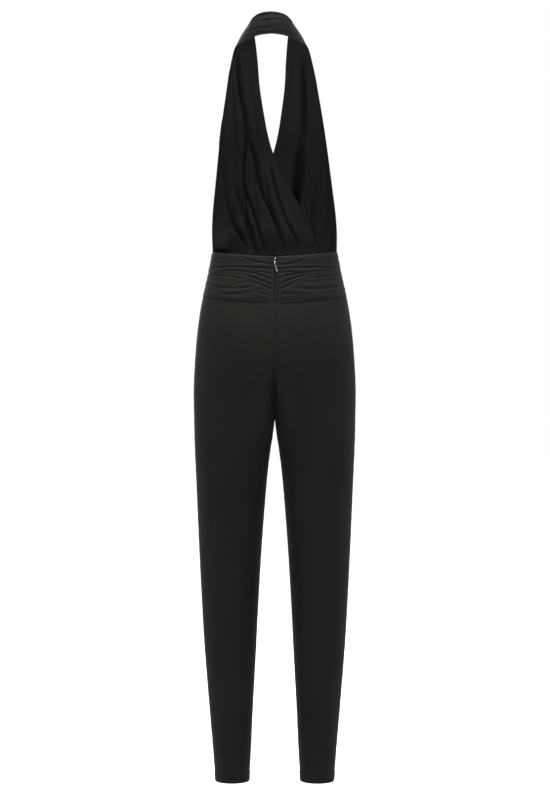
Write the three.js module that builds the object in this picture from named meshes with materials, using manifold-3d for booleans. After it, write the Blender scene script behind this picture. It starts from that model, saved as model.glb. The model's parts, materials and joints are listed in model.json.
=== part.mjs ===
// A halter-neck jumpsuit with an open back, in the filled-out form it has when it is worn.
// Two wrap fronts run up over the shoulders and join in one strap behind the neck. They cross
// at the breast and are sewn to a gathered yoke, which carries two long tapered legs. A
// concealed zip closes the yoke and the seat at the centre back.
// Units are millimetres. +Z is up, the wearer faces -Y, and +X is the wearer's left. The origin
// is the inside of the strap at the nape, which is where the wearer holds the garment up.
import * as THREE from "three";
import Module from "manifold-3d";
import { mergeVertices } from "three/addons/utils/BufferGeometryUtils.js";

const wasm = await Module();
wasm.setup();

// Driving dimensions
const CLOTH = 1.6; // wall of every cloth piece
const SEAM = 0.3; // space between two pieces at a seam
const WAIST_Z = -437; // top edge of the yoke at the side seams
const YOKE_DEPTH = 88; // yoke from top to bottom at the side seams
const WAIST_SINK = 11; // how much lower the top edge is at the centre back
const SEAM_SINK = 14.5; // the same for the yoke's lower seam
const CROTCH_Z = -766;
const HEM_Z = -1464;
const RISE_BLEND = 130; // height above the crotch over which the seat parts into two legs
const UNDER_SEAT = 55; // away from the centre seam it ends this far below the crotch
const PARTING = { nearSeam: 0.8, round: 1.6, late: 2.6 }; // where it is a round U, and its powers
const RUCHE = 3.0; // how far the yoke's gathers stand out
const DRAPE = 9.0; // depth of the folds in the fronts
const LAYER = CLOTH + 1.2; // the right front lies this far outside the left one
const LAYER_GROWS = 0.35; // part of the panel, from its armhole edge, over which it gets there
const NECK_SHIFT = 7; // the strap sits this far to the wearer's left
const STRAP_SEAM_X = 7.5; // centre-back seam of the strap, from the strap's own middle
const YOKE_PROUD = 1.3; // the yoke's inside stands this far outside the fronts' inside
const STITCHED = 7; // over this distance from the yoke's edges its gathers are held flatter

// The seat's rings, inside face: half width, side seam's Y, depth behind it and before it.
const SEAT = [
  { z: -437, half: 119.0, mid: -85, back: 78, front: 85 },
  { z: -475, half: 126.8, mid: -84, back: 86, front: 88 },
  { z: -506, half: 134.3, mid: -83, back: 94, front: 90 },
  { z: -530, half: 140.2, mid: -82, back: 100, front: 92 },
  { z: -584, half: 148.6, mid: -80, back: 110, front: 95 },
  { z: -647, half: 154.1, mid: -79, back: 114, front: 97 },
  { z: -709, half: 156.8, mid: -78, back: 109, front: 97 },
  { z: -766, half: 155.8, mid: -77, back: 100, front: 96 },
];

// One leg's rings, inside face: the leg's axis in X and Y, its half width and half depth.
const LEG = [
  { z: -636, axis: 78.8, half: 77.0, mid: -69, depth: 101 },
  { z: -700, axis: 78.8, half: 77.0, mid: -72.5, depth: 95.5 },
  { z: -766, axis: 78.8, half: 77.0, mid: -76, depth: 90 },
  { z: -834, axis: 82.5, half: 71.4, mid: -78.5, depth: 82 },
  { z: -896, axis: 84.4, half: 66.8, mid: -81, depth: 75.5 },
  { z: -1021, axis: 86.5, half: 59.3, mid: -84.5, depth: 65.5 },
  { z: -1146, axis: 86.8, half: 52.4, mid: -77, depth: 58.5 },
  { z: -1208, axis: 86.3, half: 49.0, mid: -73, depth: 55.5 },
  { z: -1332, axis: 84.5, half: 40.5, mid: -66, depth: 49 },
  { z: -1394, axis: 83.1, half: 36.4, mid: -63, depth: 46.3 },
  { z: -1464, axis: 82.3, half: 31.6, mid: -60, depth: 43 },
];

// The strap's sections from the nape to the front of the shoulder: its outer edge, which is the
// lower one at the nape, its neckline edge, and how far it bows away from the neck.
const STRAP = [
  { outer: [0, 2, -21.5], neck: [0, -6, 21.5], bow: 2 },
  { outer: [23, -3, -23.5], neck: [23, -11, 18], bow: 2 },
  { outer: [40.5, -17, -28.5], neck: [35.5, -24, 10.5], bow: 2 },
  { outer: [56.5, -38, -33.5], neck: [41, -40, 3.5], bow: 2.5 },
  { outer: [67.8, -62, -38], neck: [41.6, -60, 3], bow: 3 },
  { outer: [74.8, -82, -53], neck: [33.4, -84, -11], bow: 4 },
];

// The fronts' sections below the strap: armhole edge's half width and Y, neckline edge's X,
// which passes the centre below the crossing, depth in front of the armhole edge, and how much
// higher the neckline edge is than the armhole edge.
const CHEST = [
  { z: -94, outer: 83.6, neck: 27.8, side: -92, front: 22, lift: 34 },
  { z: -130, outer: 89.7, neck: 24.6, side: -100, front: 36, lift: 22 },
  { z: -168, outer: 95.9, neck: 17.5, side: -105, front: 52, lift: 10 },
  { z: -206, outer: 101.2, neck: 9, side: -106, front: 68, lift: 2 },
  { z: -245, outer: 106, neck: -3.6, side: -104, front: 80, lift: 0 },
  { z: -283, outer: 110.2, neck: -24, side: -100, front: 88, lift: 0 },
  { z: -322, outer: 114.5, neck: -42, side: -96, front: 92, lift: 0 },
  { z: -360, outer: 118.5, neck: -64.5, side: -92, front: 94, lift: 0 },
  { z: -398, outer: 120.4, neck: -78, side: -88, front: 91, lift: 0 },
  { z: -436.7, outer: 119.6, neck: -86, side: -85, front: 86, lift: 0 },
];

// Folds of the fronts, as troughs seen from behind. Each runs through three points, top, middle
// and bottom, given by X towards the panel's own side and Z. Share is its part of DRAPE.
const LEFT_FOLDS = [
  { top: [66.5, -37], middle: [46.5, -206], bottom: [-16.5, -428], width: 9, share: 0.95 },
  { top: [57.5, -156], middle: [62, -265], bottom: [18.5, -431], width: 7, share: 0.8 },
  { top: [2, -270], middle: [-15.5, -342], bottom: [-49.5, -428], width: 6, share: 0.7 },
  { top: [99.5, -210], middle: [97, -309], bottom: [54.5, -421], width: 8, share: 0.85 },
  { top: [82.5, -305], middle: [69, -348], bottom: [43, -400], width: 6, share: 0.6 },
];
const RIGHT_FOLDS = [
  { top: [63.5, -45], middle: [58, -208], bottom: [5, -428], width: 10, share: 1.0 },
  { top: [97, -225], middle: [98, -317], bottom: [98, -416], width: 6, share: 0.45 },
  { top: [0, -283], middle: [-17.5, -342], bottom: [-49.5, -428], width: 7, share: 0.7 },
  { top: [37, -317], middle: [12.5, -378], bottom: [-16.5, -428], width: 7, share: 0.6 },
];

// Grooves between the yoke's gathers on one back half: each runs through three points, given by
// X from the centre back and Z, from its end nearer the zip. Share is its part of RUCHE.
const BACK_GROOVES = [
  { inner: [5, -464], middle: [30, -461], outer: [56, -453], width: 2.2, share: 0.7 },
  { inner: [5, -474], middle: [60, -470], outer: [123, -471], width: 2.2, share: 0.9 },
  { inner: [54, -480], middle: [80, -477], outer: [102, -477], width: 2, share: 0.45 },
  { inner: [5, -493], middle: [26, -487], outer: [56, -480], width: 2.2, share: 0.85 },
  { inner: [5, -505], middle: [24, -497], outer: [56, -486], width: 2.4, share: 0.9 },
  { inner: [64, -492], middle: [93, -487], outer: [126, -483], width: 2.4, share: 0.6 },
  { inner: [10, -514], middle: [22, -508], outer: [38, -501], width: 2.6, share: 0.6 },
  { inner: [48, -509], middle: [84, -511], outer: [132, -501], width: 3, share: 0.7 },
  { inner: [5, -528], middle: [14, -525], outer: [28, -522], width: 2.6, share: 0.5 },
];

// The same on one half of the front yoke, where the gathers start at the side seam.
const FRONT_GROOVES = [
  { inner: [20, -453], middle: [70, -452], outer: [120, -449], width: 2.4, share: 0.6 },
  { inner: [-20, -470], middle: [60, -468], outer: [122, -462], width: 2.6, share: 0.8 },
  { inner: [30, -483], middle: [80, -482], outer: [125, -476], width: 2.6, share: 0.7 },
  { inner: [-20, -498], middle: [70, -497], outer: [128, -490], width: 3, share: 0.7 },
  { inner: [40, -511], middle: [90, -510], outer: [132, -505], width: 3, share: 0.6 },
];

// Zip: the slider and its pull tab, as lengths in the slider's own frame
const ZIP_GAP = 1.6; // opening between the two edges that the zip closes
const ZIP_FLAT = 7; // the gathers start this far from the zip
const ZIP_TOP_Z = -453;
const ZIP_END_Z = -634;
const TAPE_WIDTH = 22;
const TAPE_THICK = 1.2;
const TAPE_SPACE = 0.6; // between the tape and the cloth
const SLIDER_Z = -463;
const SLIDER = { width: 4.6, height: 11, thick: 1.2, lift: 0.4, neckWidth: 0.9, neckHeight: 5 };
const BRIDGE = { width: 0.8, height: 6, rise: 2.3, roof: 1.0, pillar: 1.2 };
const TAB = { width: 3.5, length: 17, thick: 0.7, hole: 2.4, holeLength: 5.2, lean: 20 };
const BAR = { rise: 2.25, drop: 0.9 }; // the tab's bar: off the cloth, and below the slider's middle

const CLOTH_FINISH = { color: 0x25241f, roughness: 0.82, metalness: 0 };
const TAPE_FINISH = { color: 0x1b1b19, roughness: 0.7, metalness: 0 };
const LACQUER_FINISH = { color: 0x121212, roughness: 0.25, metalness: 0 };
const METAL_FINISH = { color: 0xb9b9b6, roughness: 0.28, metalness: 1 };

const clamp = (v, low = 0, high = 1) => Math.min(high, Math.max(low, v));
const lerp = (a, b, t) => a + (b - a) * t;
const smooth = (t) => clamp(t) ** 2 * (3 - 2 * clamp(t));
const radians = THREE.MathUtils.degToRad;

// Cubic through four values, from the second at t = 0 to the third at t = 1.
function cubic(before, a, b, after, t) {
  const leave = (b - before) / 2;
  const arrive = (after - a) / 2;
  const s = t * t;
  const c = s * t;
  return (2 * c - 3 * s + 1) * a + (c - 2 * s + t) * leave + (3 * s - 2 * c) * b + (c - s) * arrive;
}

// A table's row at height z, each column on a smooth curve through the rows.
function rowAt(table, z) {
  const last = table.length - 1;
  let i = 0;
  while (i < last - 1 && z < table[i + 1].z) i += 1;
  const a = table[i];
  const b = table[i + 1];
  const t = clamp((z - a.z) / (b.z - a.z));
  const slope = (n, key) => {
    const above = table[Math.max(n - 1, 0)];
    const below = table[Math.min(n + 1, last)];
    return ((below[key] - above[key]) / (below.z - above.z)) * (b.z - a.z);
  };
  const row = {};
  for (const key of Object.keys(a)) {
    const before = b[key] - 2 * slope(i, key);
    const after = a[key] + 2 * slope(i + 1, key);
    row[key] = cubic(before, a[key], b[key], after, t);
  }
  return row;
}

// The parabola through a fold's three points: the value of column `to` at column `from`.
function along(points, from, to, at) {
  let sum = 0;
  for (const p of points) {
    let part = p[to];
    for (const q of points) if (q !== p) part *= (at - q[from]) / (p[from] - q[from]);
    sum += part;
  }
  return sum;
}

// Round the body: c is -1 at the centre front, 0 at the side seam and 1 at the centre back. It
// counts evenly round a leg, so the seat's angle runs ahead of it near the side seam.
const seatAngle = (c) => (Math.PI / 2) * c * (1 + (2 / 3) * (1 - Math.abs(c)));

function seatPoint(c, z) {
  const ring = rowAt(SEAT, z);
  const angle = seatAngle(c);
  const depth = angle > 0 ? ring.back : ring.front;
  return new THREE.Vector3(ring.half * Math.cos(angle), ring.mid + depth * Math.sin(angle), z);
}

function legPoint(c, z) {
  const ring = rowAt(LEG, z);
  const angle = Math.PI * c;
  const x = ring.axis + ring.half * Math.cos(angle);
  return new THREE.Vector3(x, ring.mid + ring.depth * Math.sin(angle), z);
}

// The trousers' inside face. Each half of the seat's ring closes into a leg's. Its ends, on the
// centre seam, come together late, so that the crotch seam is a round U. The rest closes more
// slowly and a little further down, so that the thighs meet in one soft cleft.
function trouserPoint(c, z) {
  const { nearSeam, round, late } = PARTING;
  const bySeam = smooth((Math.abs(c) - nearSeam) / (1 - nearSeam));
  const t = clamp((CROTCH_Z + RISE_BLEND - z) / (RISE_BLEND + UNDER_SEAT * (1 - bySeam)));
  const roundSeam = 1 - (1 - t ** round) ** (1 / round);
  return seatPoint(c, z).lerp(legPoint(c, z), lerp(smooth(t) ** late, roundSeam, bySeam));
}

const sunk = (c) => Math.max(0, Math.sin(seatAngle(c))) ** 2;
const waistEdge = (c) => WAIST_Z - WAIST_SINK * sunk(c);
const yokeSeam = (c) => WAIST_Z - YOKE_DEPTH - SEAM_SINK * sunk(c);

// How far the gathers stand out at a point of the yoke, given its X and Z and the distance to the
// nearer of its long edges. They also flatten towards the edge that the zip is sewn to.
function gathers(grooves, x, z, toEdge, flatWidth) {
  let left = 1;
  for (const g of grooves) {
    const points = [g.inner, g.middle, g.outer];
    const off = (z - along(points, 0, 1, x)) / g.width;
    const reach = smooth((x - g.inner[0] + 4) / 8) * smooth((g.outer[0] - x + 8) / 16);
    left *= 1 - g.share * reach * Math.exp(-off * off);
  }
  const held = lerp(0.3, 1, smooth(toEdge / STITCHED));
  return RUCHE * held * left * (flatWidth ? smooth((x - flatWidth) / flatWidth) : 1);
}

// The body's left half of a front, s counting sections from the strap's middle and t going
// from the armhole edge to the neckline edge. Below 0, s is on the other side of the neck.
const sections = [
  ...STRAP.map((row) => (t) => {
    const p = new THREE.Vector3(...row.outer).lerp(new THREE.Vector3(...row.neck), t);
    const away = new THREE.Vector2(p.x, p.y + 60).normalize();
    const bow = row.bow * 4 * t * (1 - t);
    return p.add(new THREE.Vector3(away.x * bow, away.y * bow, 0));
  }),
  ...CHEST.map((row) => (t) => {
    const angle = t * Math.acos(row.neck / row.outer);
    const x = row.outer * Math.cos(angle);
    return new THREE.Vector3(x, row.side - row.front * Math.sin(angle), row.z + row.lift * t);
  }),
];
const LAST = sections.length - 1;
const SHOULDER = STRAP.length - 1;

function section(n, t) {
  const p = sections[Math.min(Math.abs(n), LAST)](t);
  return n < 0 ? p.setX(-p.x) : p;
}

function frontPoint(s, t) {
  const i = Math.min(Math.floor(s), LAST - 1);
  const [before, a, b, after] = [i - 1, i, i + 1, i + 2].map((n) => section(n, t));
  if (i + 2 > LAST) after.copy(b).multiplyScalar(2).sub(a);
  const value = (key) => cubic(before[key], a[key], b[key], after[key], s - i);
  return new THREE.Vector3(value("x"), value("y"), value("z"));
}

// The direction away from the body at a point of a front.
function outwardsAt(s, t) {
  const step = 0.004;
  const down = frontPoint(Math.min(s + step, LAST), t).sub(frontPoint(s - step, t));
  const across = frontPoint(s, clamp(t - step)).sub(frontPoint(s, clamp(t + step)));
  return down.cross(across).normalize();
}

// How deep the folds are at a point of a front, from 0 to 1, given X and Z.
function folded(folds, x, z) {
  let left = 1;
  for (const f of folds) {
    const points = [f.top, f.middle, f.bottom];
    const off = (x - along(points, 1, 0, z)) / f.width;
    const reach = smooth((f.top[1] - z + 30) / 60) * smooth((z - f.bottom[1] + 20) / 40);
    left *= 1 - f.share * reach * Math.exp(-off * off);
  }
  return 1 - left;
}

// The folds die out at the panel's two free edges and over the shoulder, and shrink at the waist.
function loose(s, t) {
  const edges = smooth(t / 0.12) * smooth((1 - t) / 0.14);
  return edges * smooth((s - SHOULDER + 1) / 3) * lerp(1, 0.3, smooth((s - LAST + 1.2) / 1.2));
}

// A front's inside face. The left one swells inwards between its troughs, and the right one
// lies a layer further out and is pushed outwards at its troughs, so the two stay clear.
function drapedFront(side, folds) {
  return (s, t) => {
    const p = frontPoint(s, t);
    const out = outwardsAt(s, t);
    const level = p.z;
    const depth = folded(folds, p.x, p.z) * DRAPE;
    const room = loose(s, t);
    const inwards = (depth - DRAPE) * room;
    const layer = LAYER * smooth((s - SHOULDER + 1) / 3) * smooth(t / LAYER_GROWS);
    p.addScaledVector(out, side > 0 ? inwards : layer + depth * room);
    p.z = lerp(p.z, level, smooth(s - LAST + 1));
    const shift = (NECK_SHIFT * clamp((p.z - WAIST_Z) / -WAIST_Z)) * side;
    return p.setX(p.x + shift);
  };
}

// A closed cloth wall. `inside` gives the inner face over the rows and columns, and `thick` the
// thickness outwards. Outwards is the side that rows cross columns points to. The first and the
// last row keep the same `flush` coordinate through the thickness, so that seams stay even.
function clothWall(rows, cols, inside, thick, limit = (p) => p, flush = ["z", "z"]) {
  const inner = rows.map((a) => cols.map((b) => inside(a, b)));
  const last = [rows.length - 1, cols.length - 1];
  const normal = (i, j) => {
    const down = inner[Math.min(i + 1, last[0])][j].clone().sub(inner[Math.max(i - 1, 0)][j]);
    const on = inner[i][Math.min(j + 1, last[1])].clone().sub(inner[i][Math.max(j - 1, 0)]);
    return down.cross(on).normalize();
  };
  const outer = rows.map((a, i) =>
    cols.map((b, j) => {
      const p = inner[i][j].clone();
      p.addScaledVector(normal(i, j), thick(a, b, inner[i][j]));
      if (i === 0) p[flush[0]] = inner[i][j][flush[0]];
      if (i === last[0]) p[flush[1]] = inner[i][j][flush[1]];
      return limit(p);
    }),
  );
  inner.forEach((line) => line.forEach(limit));
  const wide = cols.length;
  const size = rows.length * wide;
  const at = (face, i, j) => face * size + i * wide + j;
  const index = [];
  const quad = (a, b, c, d) => index.push(a, b, c, a, c, d);
  for (let i = 0; i < last[0]; i += 1) {
    for (let j = 0; j < last[1]; j += 1) {
      quad(at(0, i, j), at(0, i + 1, j), at(0, i + 1, j + 1), at(0, i, j + 1));
      quad(at(1, i, j), at(1, i, j + 1), at(1, i + 1, j + 1), at(1, i + 1, j));
    }
    quad(at(0, i, 0), at(1, i, 0), at(1, i + 1, 0), at(0, i + 1, 0));
    quad(at(0, i + 1, last[1]), at(1, i + 1, last[1]), at(1, i, last[1]), at(0, i, last[1]));
  }
  for (let j = 0; j < last[1]; j += 1) {
    quad(at(0, 0, j + 1), at(1, 0, j + 1), at(1, 0, j), at(0, 0, j));
    quad(at(0, last[0], j), at(1, last[0], j), at(1, last[0], j + 1), at(0, last[0], j + 1));
  }
  const corners = [...outer.flat(), ...inner.flat()].flatMap((p) => [p.x, p.y, p.z]);
  const geometry = new THREE.BufferGeometry();
  geometry.setAttribute("position", new THREE.Float32BufferAttribute(corners, 3));
  geometry.setIndex(index);
  return geometry;
}

// The same piece on the other side of the body.
function mirrored(geometry) {
  const place = geometry.getAttribute("position");
  for (let i = 0; i < place.count; i += 1) place.setX(i, -place.getX(i));
  const index = geometry.index.array;
  for (let i = 0; i < index.length; i += 3) [index[i], index[i + 1]] = [index[i + 1], index[i]];
  return geometry;
}

const steps = (low, high, count) => Array.from({ length: count + 1 }, (_, i) => lerp(low, high, i / count));
const offCentre = (space) => (p) => p.setX(Math.max(p.x, space / 2));
const own = (side, geometry) => (side > 0 ? geometry : mirrored(geometry));

const LEG_ROWS = 15;
const LEG_SPREAD = 1.4; // power by which a leg's rows spread out towards the hem

// Half a seam's space, as a part of the way round at c = 0.
const SIDE_GAP = SEAM / 2 / 290;
const CENTRE_GAP = SEAM / 2 / 240;

function front(side) {
  const folds = side > 0 ? LEFT_FOLDS : RIGHT_FOLDS;
  const seam = side * STRAP_SEAM_X + SEAM / 2;
  const start = seam / STRAP[1].outer[0];
  const rows = steps(start, LAST, 34);
  const cols = steps(1, 0, 20);
  const wall = clothWall(rows, cols, drapedFront(side, folds), () => CLOTH, (p) => p, ["x", "z"]);
  return own(side, wall);
}

const toYokeEdge = (a) => Math.min(a, 1 - a) * YOKE_DEPTH;

function yokePoint(c, a) {
  const z = lerp(waistEdge(c), yokeSeam(c), a);
  const p = seatPoint(c, z);
  const round = new THREE.Vector2(p.x, p.y + 85).normalize();
  const proud = YOKE_PROUD * (1 - smooth(a));
  return p.set(p.x + round.x * proud, p.y + round.y * proud, z);
}

function yokeBack(side) {
  const cols = steps(SIDE_GAP, 1, 15);
  const swell = (a, c, p) => CLOTH + gathers(BACK_GROOVES, p.x, p.z, toYokeEdge(a), ZIP_FLAT);
  const wall = clothWall(steps(0, 1, 22), cols, (a, c) => yokePoint(c, a), swell, offCentre(ZIP_GAP));
  return own(side, wall);
}

function yokeFront() {
  const turns = steps(-SIDE_GAP, -1, 10);
  const cols = [...turns.map((c) => [c, -1]), ...turns.slice(0, -1).reverse().map((c) => [c, 1])];
  const inside = (a, [c, side]) => {
    const p = yokePoint(c, a);
    return p.setX(p.x * side);
  };
  const swell = (a, [c], p) => {
    const here = gathers(FRONT_GROOVES, p.x, p.z, toYokeEdge(a));
    const there = gathers(FRONT_GROOVES, -p.x, p.z, toYokeEdge(a));
    return CLOTH + Math.min(here, there) * smooth((Math.abs(c) - SIDE_GAP) / 0.06);
  };
  return clothWall(steps(0, 1, 20), cols, inside, swell);
}

// The rows of the trousers: even down the seat, close together by the crotch, and further apart
// towards the hem.
function trouserRows() {
  const seat = steps(0, 0.999, 5).slice(0, -1).map((v) => ({ from: "seat", v }));
  const rise = steps(0, Math.PI / 2, 9).map((v) => ({ from: "rise", v: Math.sin(v) }));
  const leg = steps(0, 1, LEG_ROWS).slice(1).map((v) => ({ from: "leg", v: v ** LEG_SPREAD }));
  return [...seat, ...rise, ...leg];
}

function trouserHeight(row, c) {
  const riseTop = CROTCH_Z + RISE_BLEND;
  if (row.from === "seat") return lerp(yokeSeam(c) - SEAM, riseTop, row.v);
  if (row.from === "rise") return lerp(riseTop, CROTCH_Z, row.v);
  return lerp(CROTCH_Z, HEM_Z, row.v);
}

// Half of one leg, in front of its side seam or behind it.
function trouserPanel(side, behind) {
  const cols = behind ? steps(SIDE_GAP, 1 - CENTRE_GAP, 11) : steps(-1 + CENTRE_GAP, -SIDE_GAP, 11);
  const inside = (row, c) => trouserPoint(c, trouserHeight(row, c));
  const closed = behind ? ZIP_GAP : SEAM;
  const limit = (p) => p.setX(Math.max(p.x, (p.z > ZIP_END_Z ? closed : SEAM) / 2));
  return own(side, clothWall(trouserRows(), cols, inside, () => CLOTH, limit));
}

// The inside of the cloth near the centre back, at a distance x from it.
function centreBack(x, z) {
  const ring = rowAt(SEAT, z);
  const proud = YOKE_PROUD * (1 - smooth((waistEdge(1) - z) / (waistEdge(1) - yokeSeam(1))));
  return new THREE.Vector3(x, ring.mid + ring.back * Math.sqrt(1 - (x / ring.half) ** 2) + proud, z);
}

// The two tapes and the closed chain between them, as one strip behind the cloth
function zipTape() {
  const inside = (z, x) => {
    const p = centreBack(x, z);
    return p.setY(p.y - TAPE_SPACE - TAPE_THICK);
  };
  const cols = steps(TAPE_WIDTH / 2, -TAPE_WIDTH / 2, 4);
  return clothWall(steps(ZIP_TOP_Z, ZIP_END_Z, 20), cols, inside, () => TAPE_THICK);
}

// Manifold solids, for the pieces that are joined and cut
function solid(geometry) {
  geometry.deleteAttribute("normal");
  geometry.deleteAttribute("uv");
  const merged = mergeVertices(geometry, 1e-4);
  const triVerts = new Uint32Array(merged.index.array);
  const vertProperties = new Float32Array(merged.getAttribute("position").array);
  return new wasm.Manifold(new wasm.Mesh({ numProp: 3, vertProperties, triVerts }));
}

function box(x, y, z) {
  const [low, high] = [[x[0], y[0], z[0]], [x[1], y[1], z[1]]];
  const geometry = new THREE.BoxGeometry(high[0] - low[0], high[1] - low[1], high[2] - low[2]);
  return solid(geometry.translate(...low.map((v, i) => (v + high[i]) / 2)));
}

// A plate in the XZ plane with round corners, from its outline's width, top and bottom.
function plate(width, top, bottom, y, thick, narrowing = 1) {
  const half = width / 2;
  const corner = half * 0.6;
  const shape = new THREE.Shape();
  shape.moveTo(-half * narrowing, bottom + corner);
  shape.lineTo(-half, top - corner);
  shape.quadraticCurveTo(-half, top, -half + corner, top);
  shape.lineTo(half - corner, top);
  shape.quadraticCurveTo(half, top, half, top - corner);
  shape.lineTo(half * narrowing, bottom + corner);
  shape.quadraticCurveTo(half * narrowing, bottom, half * narrowing - corner, bottom);
  shape.lineTo(-half * narrowing + corner, bottom);
  shape.quadraticCurveTo(-half * narrowing, bottom, -half * narrowing, bottom + corner);
  const geometry = new THREE.ExtrudeGeometry(shape, { depth: thick, bevelEnabled: false, curveSegments: 4 });
  return solid(geometry.rotateX(Math.PI / 2).translate(0, y + thick, 0));
}

function fromSolid(body) {
  const mesh = body.getMesh();
  const geometry = new THREE.BufferGeometry();
  geometry.setAttribute("position", new THREE.BufferAttribute(new Float32Array(mesh.vertProperties), 3));
  return geometry.setIndex(new THREE.BufferAttribute(new Uint32Array(mesh.triVerts), 1));
}

function zipSlider() {
  const { width, height, thick, lift, neckWidth, neckHeight } = SLIDER;
  const face = lift + thick;
  const half = BRIDGE.width / 2;
  const body = plate(width, height / 2, -height / 2, lift, thick, 0.75);
  const neck = box([-neckWidth / 2, neckWidth / 2], [-CLOTH, lift + 0.1], [-neckHeight / 2, neckHeight / 2]);
  const arch = box([-half, half], [face - 0.1, face + BRIDGE.rise], [-BRIDGE.height / 2, BRIDGE.height / 2]);
  const window = box(
    [-half - 1, half + 1],
    [face, face + BRIDGE.rise - BRIDGE.roof],
    [-BRIDGE.height / 2 + BRIDGE.pillar, BRIDGE.height / 2 - BRIDGE.pillar],
  );
  return fromSolid(body.add(neck).add(arch).subtract(window));
}

// The pull tab in its own frame: the bar that it turns on is at the origin, along X.
function zipPull() {
  const thick = TAB.thick;
  const body = plate(TAB.width, thick / 2, -TAB.length, -thick / 2, thick, 0.9);
  const hole = box([-TAB.hole / 2, TAB.hole / 2], [-thick, thick], [-TAB.holeLength, -thick / 2]);
  return fromSolid(body.subtract(hole));
}

function piece(name, geometry, finish) {
  geometry.computeVertexNormals();
  const mesh = new THREE.Mesh(geometry, new THREE.MeshStandardMaterial(finish));
  mesh.name = name;
  return mesh;
}

const jumpsuit = new THREE.Group();
for (const [word, side] of [["left", 1], ["right", -1]]) {
  jumpsuit.add(
    piece(`front_${word}`, front(side), CLOTH_FINISH),
    piece(`yoke_back_${word}`, yokeBack(side), CLOTH_FINISH),
    piece(`leg_front_${word}`, trouserPanel(side, false), CLOTH_FINISH),
    piece(`leg_back_${word}`, trouserPanel(side, true), CLOTH_FINISH),
  );
}
jumpsuit.add(piece("yoke_front", yokeFront(), CLOTH_FINISH));
jumpsuit.add(piece("zip_tape", zipTape(), TAPE_FINISH));

// The slider rides on the slope of the centre back, and the tab hangs from its bridge.
const onSeam = centreBack(0, SLIDER_Z);
const below = centreBack(0, SLIDER_Z - 10);
const slider = new THREE.Group();
slider.position.set(0, onSeam.y + CLOTH, SLIDER_Z);
slider.rotation.x = Math.atan2(below.y - onSeam.y, onSeam.z - below.z);
slider.add(piece("zip_slider", zipSlider(), LACQUER_FINISH));
const pull = piece("zip_pull", zipPull(), METAL_FINISH);
pull.position.set(0, BAR.rise, -BAR.drop);
pull.rotation.y = radians(TAB.lean);
slider.add(pull);
jumpsuit.add(slider);

export default jumpsuit;
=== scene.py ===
# %% [markdown]
# # A halter-neck jumpsuit, built from its measurements
# This lesson makes a black crepe jumpsuit in the hollow form that it has when it is worn. Two wrap
# fronts meet in one strap behind the neck, the back is bare down to a gathered yoke, and two
# tapered legs hang from it. Every cloth piece is a formula of two parameters, worked out on a
# grid with numpy, so the same few measurements give the large form and the finest crease.

# %% Load the frame
import json

import bpy
import numpy as np
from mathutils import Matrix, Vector


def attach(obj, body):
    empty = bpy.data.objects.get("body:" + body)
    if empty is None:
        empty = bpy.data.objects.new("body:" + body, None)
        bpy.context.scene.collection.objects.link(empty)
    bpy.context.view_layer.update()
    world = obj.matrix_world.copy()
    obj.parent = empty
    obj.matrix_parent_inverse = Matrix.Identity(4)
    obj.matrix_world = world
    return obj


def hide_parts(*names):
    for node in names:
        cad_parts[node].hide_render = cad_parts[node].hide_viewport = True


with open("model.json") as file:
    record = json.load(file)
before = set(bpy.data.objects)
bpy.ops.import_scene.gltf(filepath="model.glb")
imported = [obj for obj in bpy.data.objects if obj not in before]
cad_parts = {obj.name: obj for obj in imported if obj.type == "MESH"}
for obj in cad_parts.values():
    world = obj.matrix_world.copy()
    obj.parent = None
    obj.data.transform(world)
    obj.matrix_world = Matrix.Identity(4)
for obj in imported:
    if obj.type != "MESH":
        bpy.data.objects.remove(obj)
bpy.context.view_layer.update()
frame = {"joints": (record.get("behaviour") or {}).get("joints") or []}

# %% [markdown]
# ## Measurements
# A pattern cutter starts from a size table, and so does this scene. The form could also be
# sculpted by eye, but then no two sizes would agree. The tables below are in millimetres, one
# row for each height. +Z is up, the wearer faces -Y and +X is the wearer's left. The origin is
# the inside of the strap at the nape.

# %% Size tables
MM = 0.001
# The waist's height, how far the yoke runs below it, and how far each drops at the centre back
WAIST_Z, WAIST_SINK = -437, 11
YOKE_DEPTH, SEAM_SINK = 88, 14.5
# The rise: the seat's ring turns into the legs' over this height, and lower under the seat
CROTCH_Z, RISE_BLEND, UNDER_SEAT = -766, 130, 55
HEM_Z = -1464
# The gap between pieces that touch, and the thickness of crepe in trousers, yoke and fronts
TOUCH = 0.02
WALL, YOKE_WALL, FRONT_WALL = 1.3, 1.3, 1.1
# How far the yoke lies over the fronts, and the right front over the left one
YOKE_PROUD = 1.3
LAYER, LAYER_GROWS = 2.8, 0.35
# The neck hangs a little to one side, and the strap's seam lies beside the nape
NECK_SHIFT, STRAP_SEAM_X = 7, 7.5

# Columns: height, half width, side seam's Y, depth behind it, depth before it
SEAT = np.array([
    [-437, 119.0, -85, 78, 85],
    [-475, 126.8, -84, 86, 88],
    [-506, 134.3, -83, 94, 90],
    [-530, 140.2, -82, 100, 92],
    [-584, 148.6, -80, 110, 95],
    [-647, 154.1, -79, 114, 97],
    [-709, 156.8, -78, 109, 97],
    [-766, 155.8, -77, 100, 96],
])

# Columns: height, the leg's axis in X, half width, axis in Y, half depth
LEG = np.array([
    [-636, 78.8, 77.0, -69, 101],
    [-700, 78.8, 77.0, -72.5, 95.5],
    [-766, 78.8, 77.0, -76, 90],
    [-834, 82.5, 71.4, -78.5, 82],
    [-896, 84.4, 66.8, -81, 75.5],
    [-1021, 86.5, 59.3, -84.5, 65.5],
    [-1146, 86.8, 52.4, -77, 58.5],
    [-1208, 86.3, 49.0, -73, 55.5],
    [-1332, 84.5, 40.5, -66, 49],
    [-1394, 83.1, 36.4, -63, 46.3],
    [-1464, 82.3, 31.6, -60, 43],
])

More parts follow.
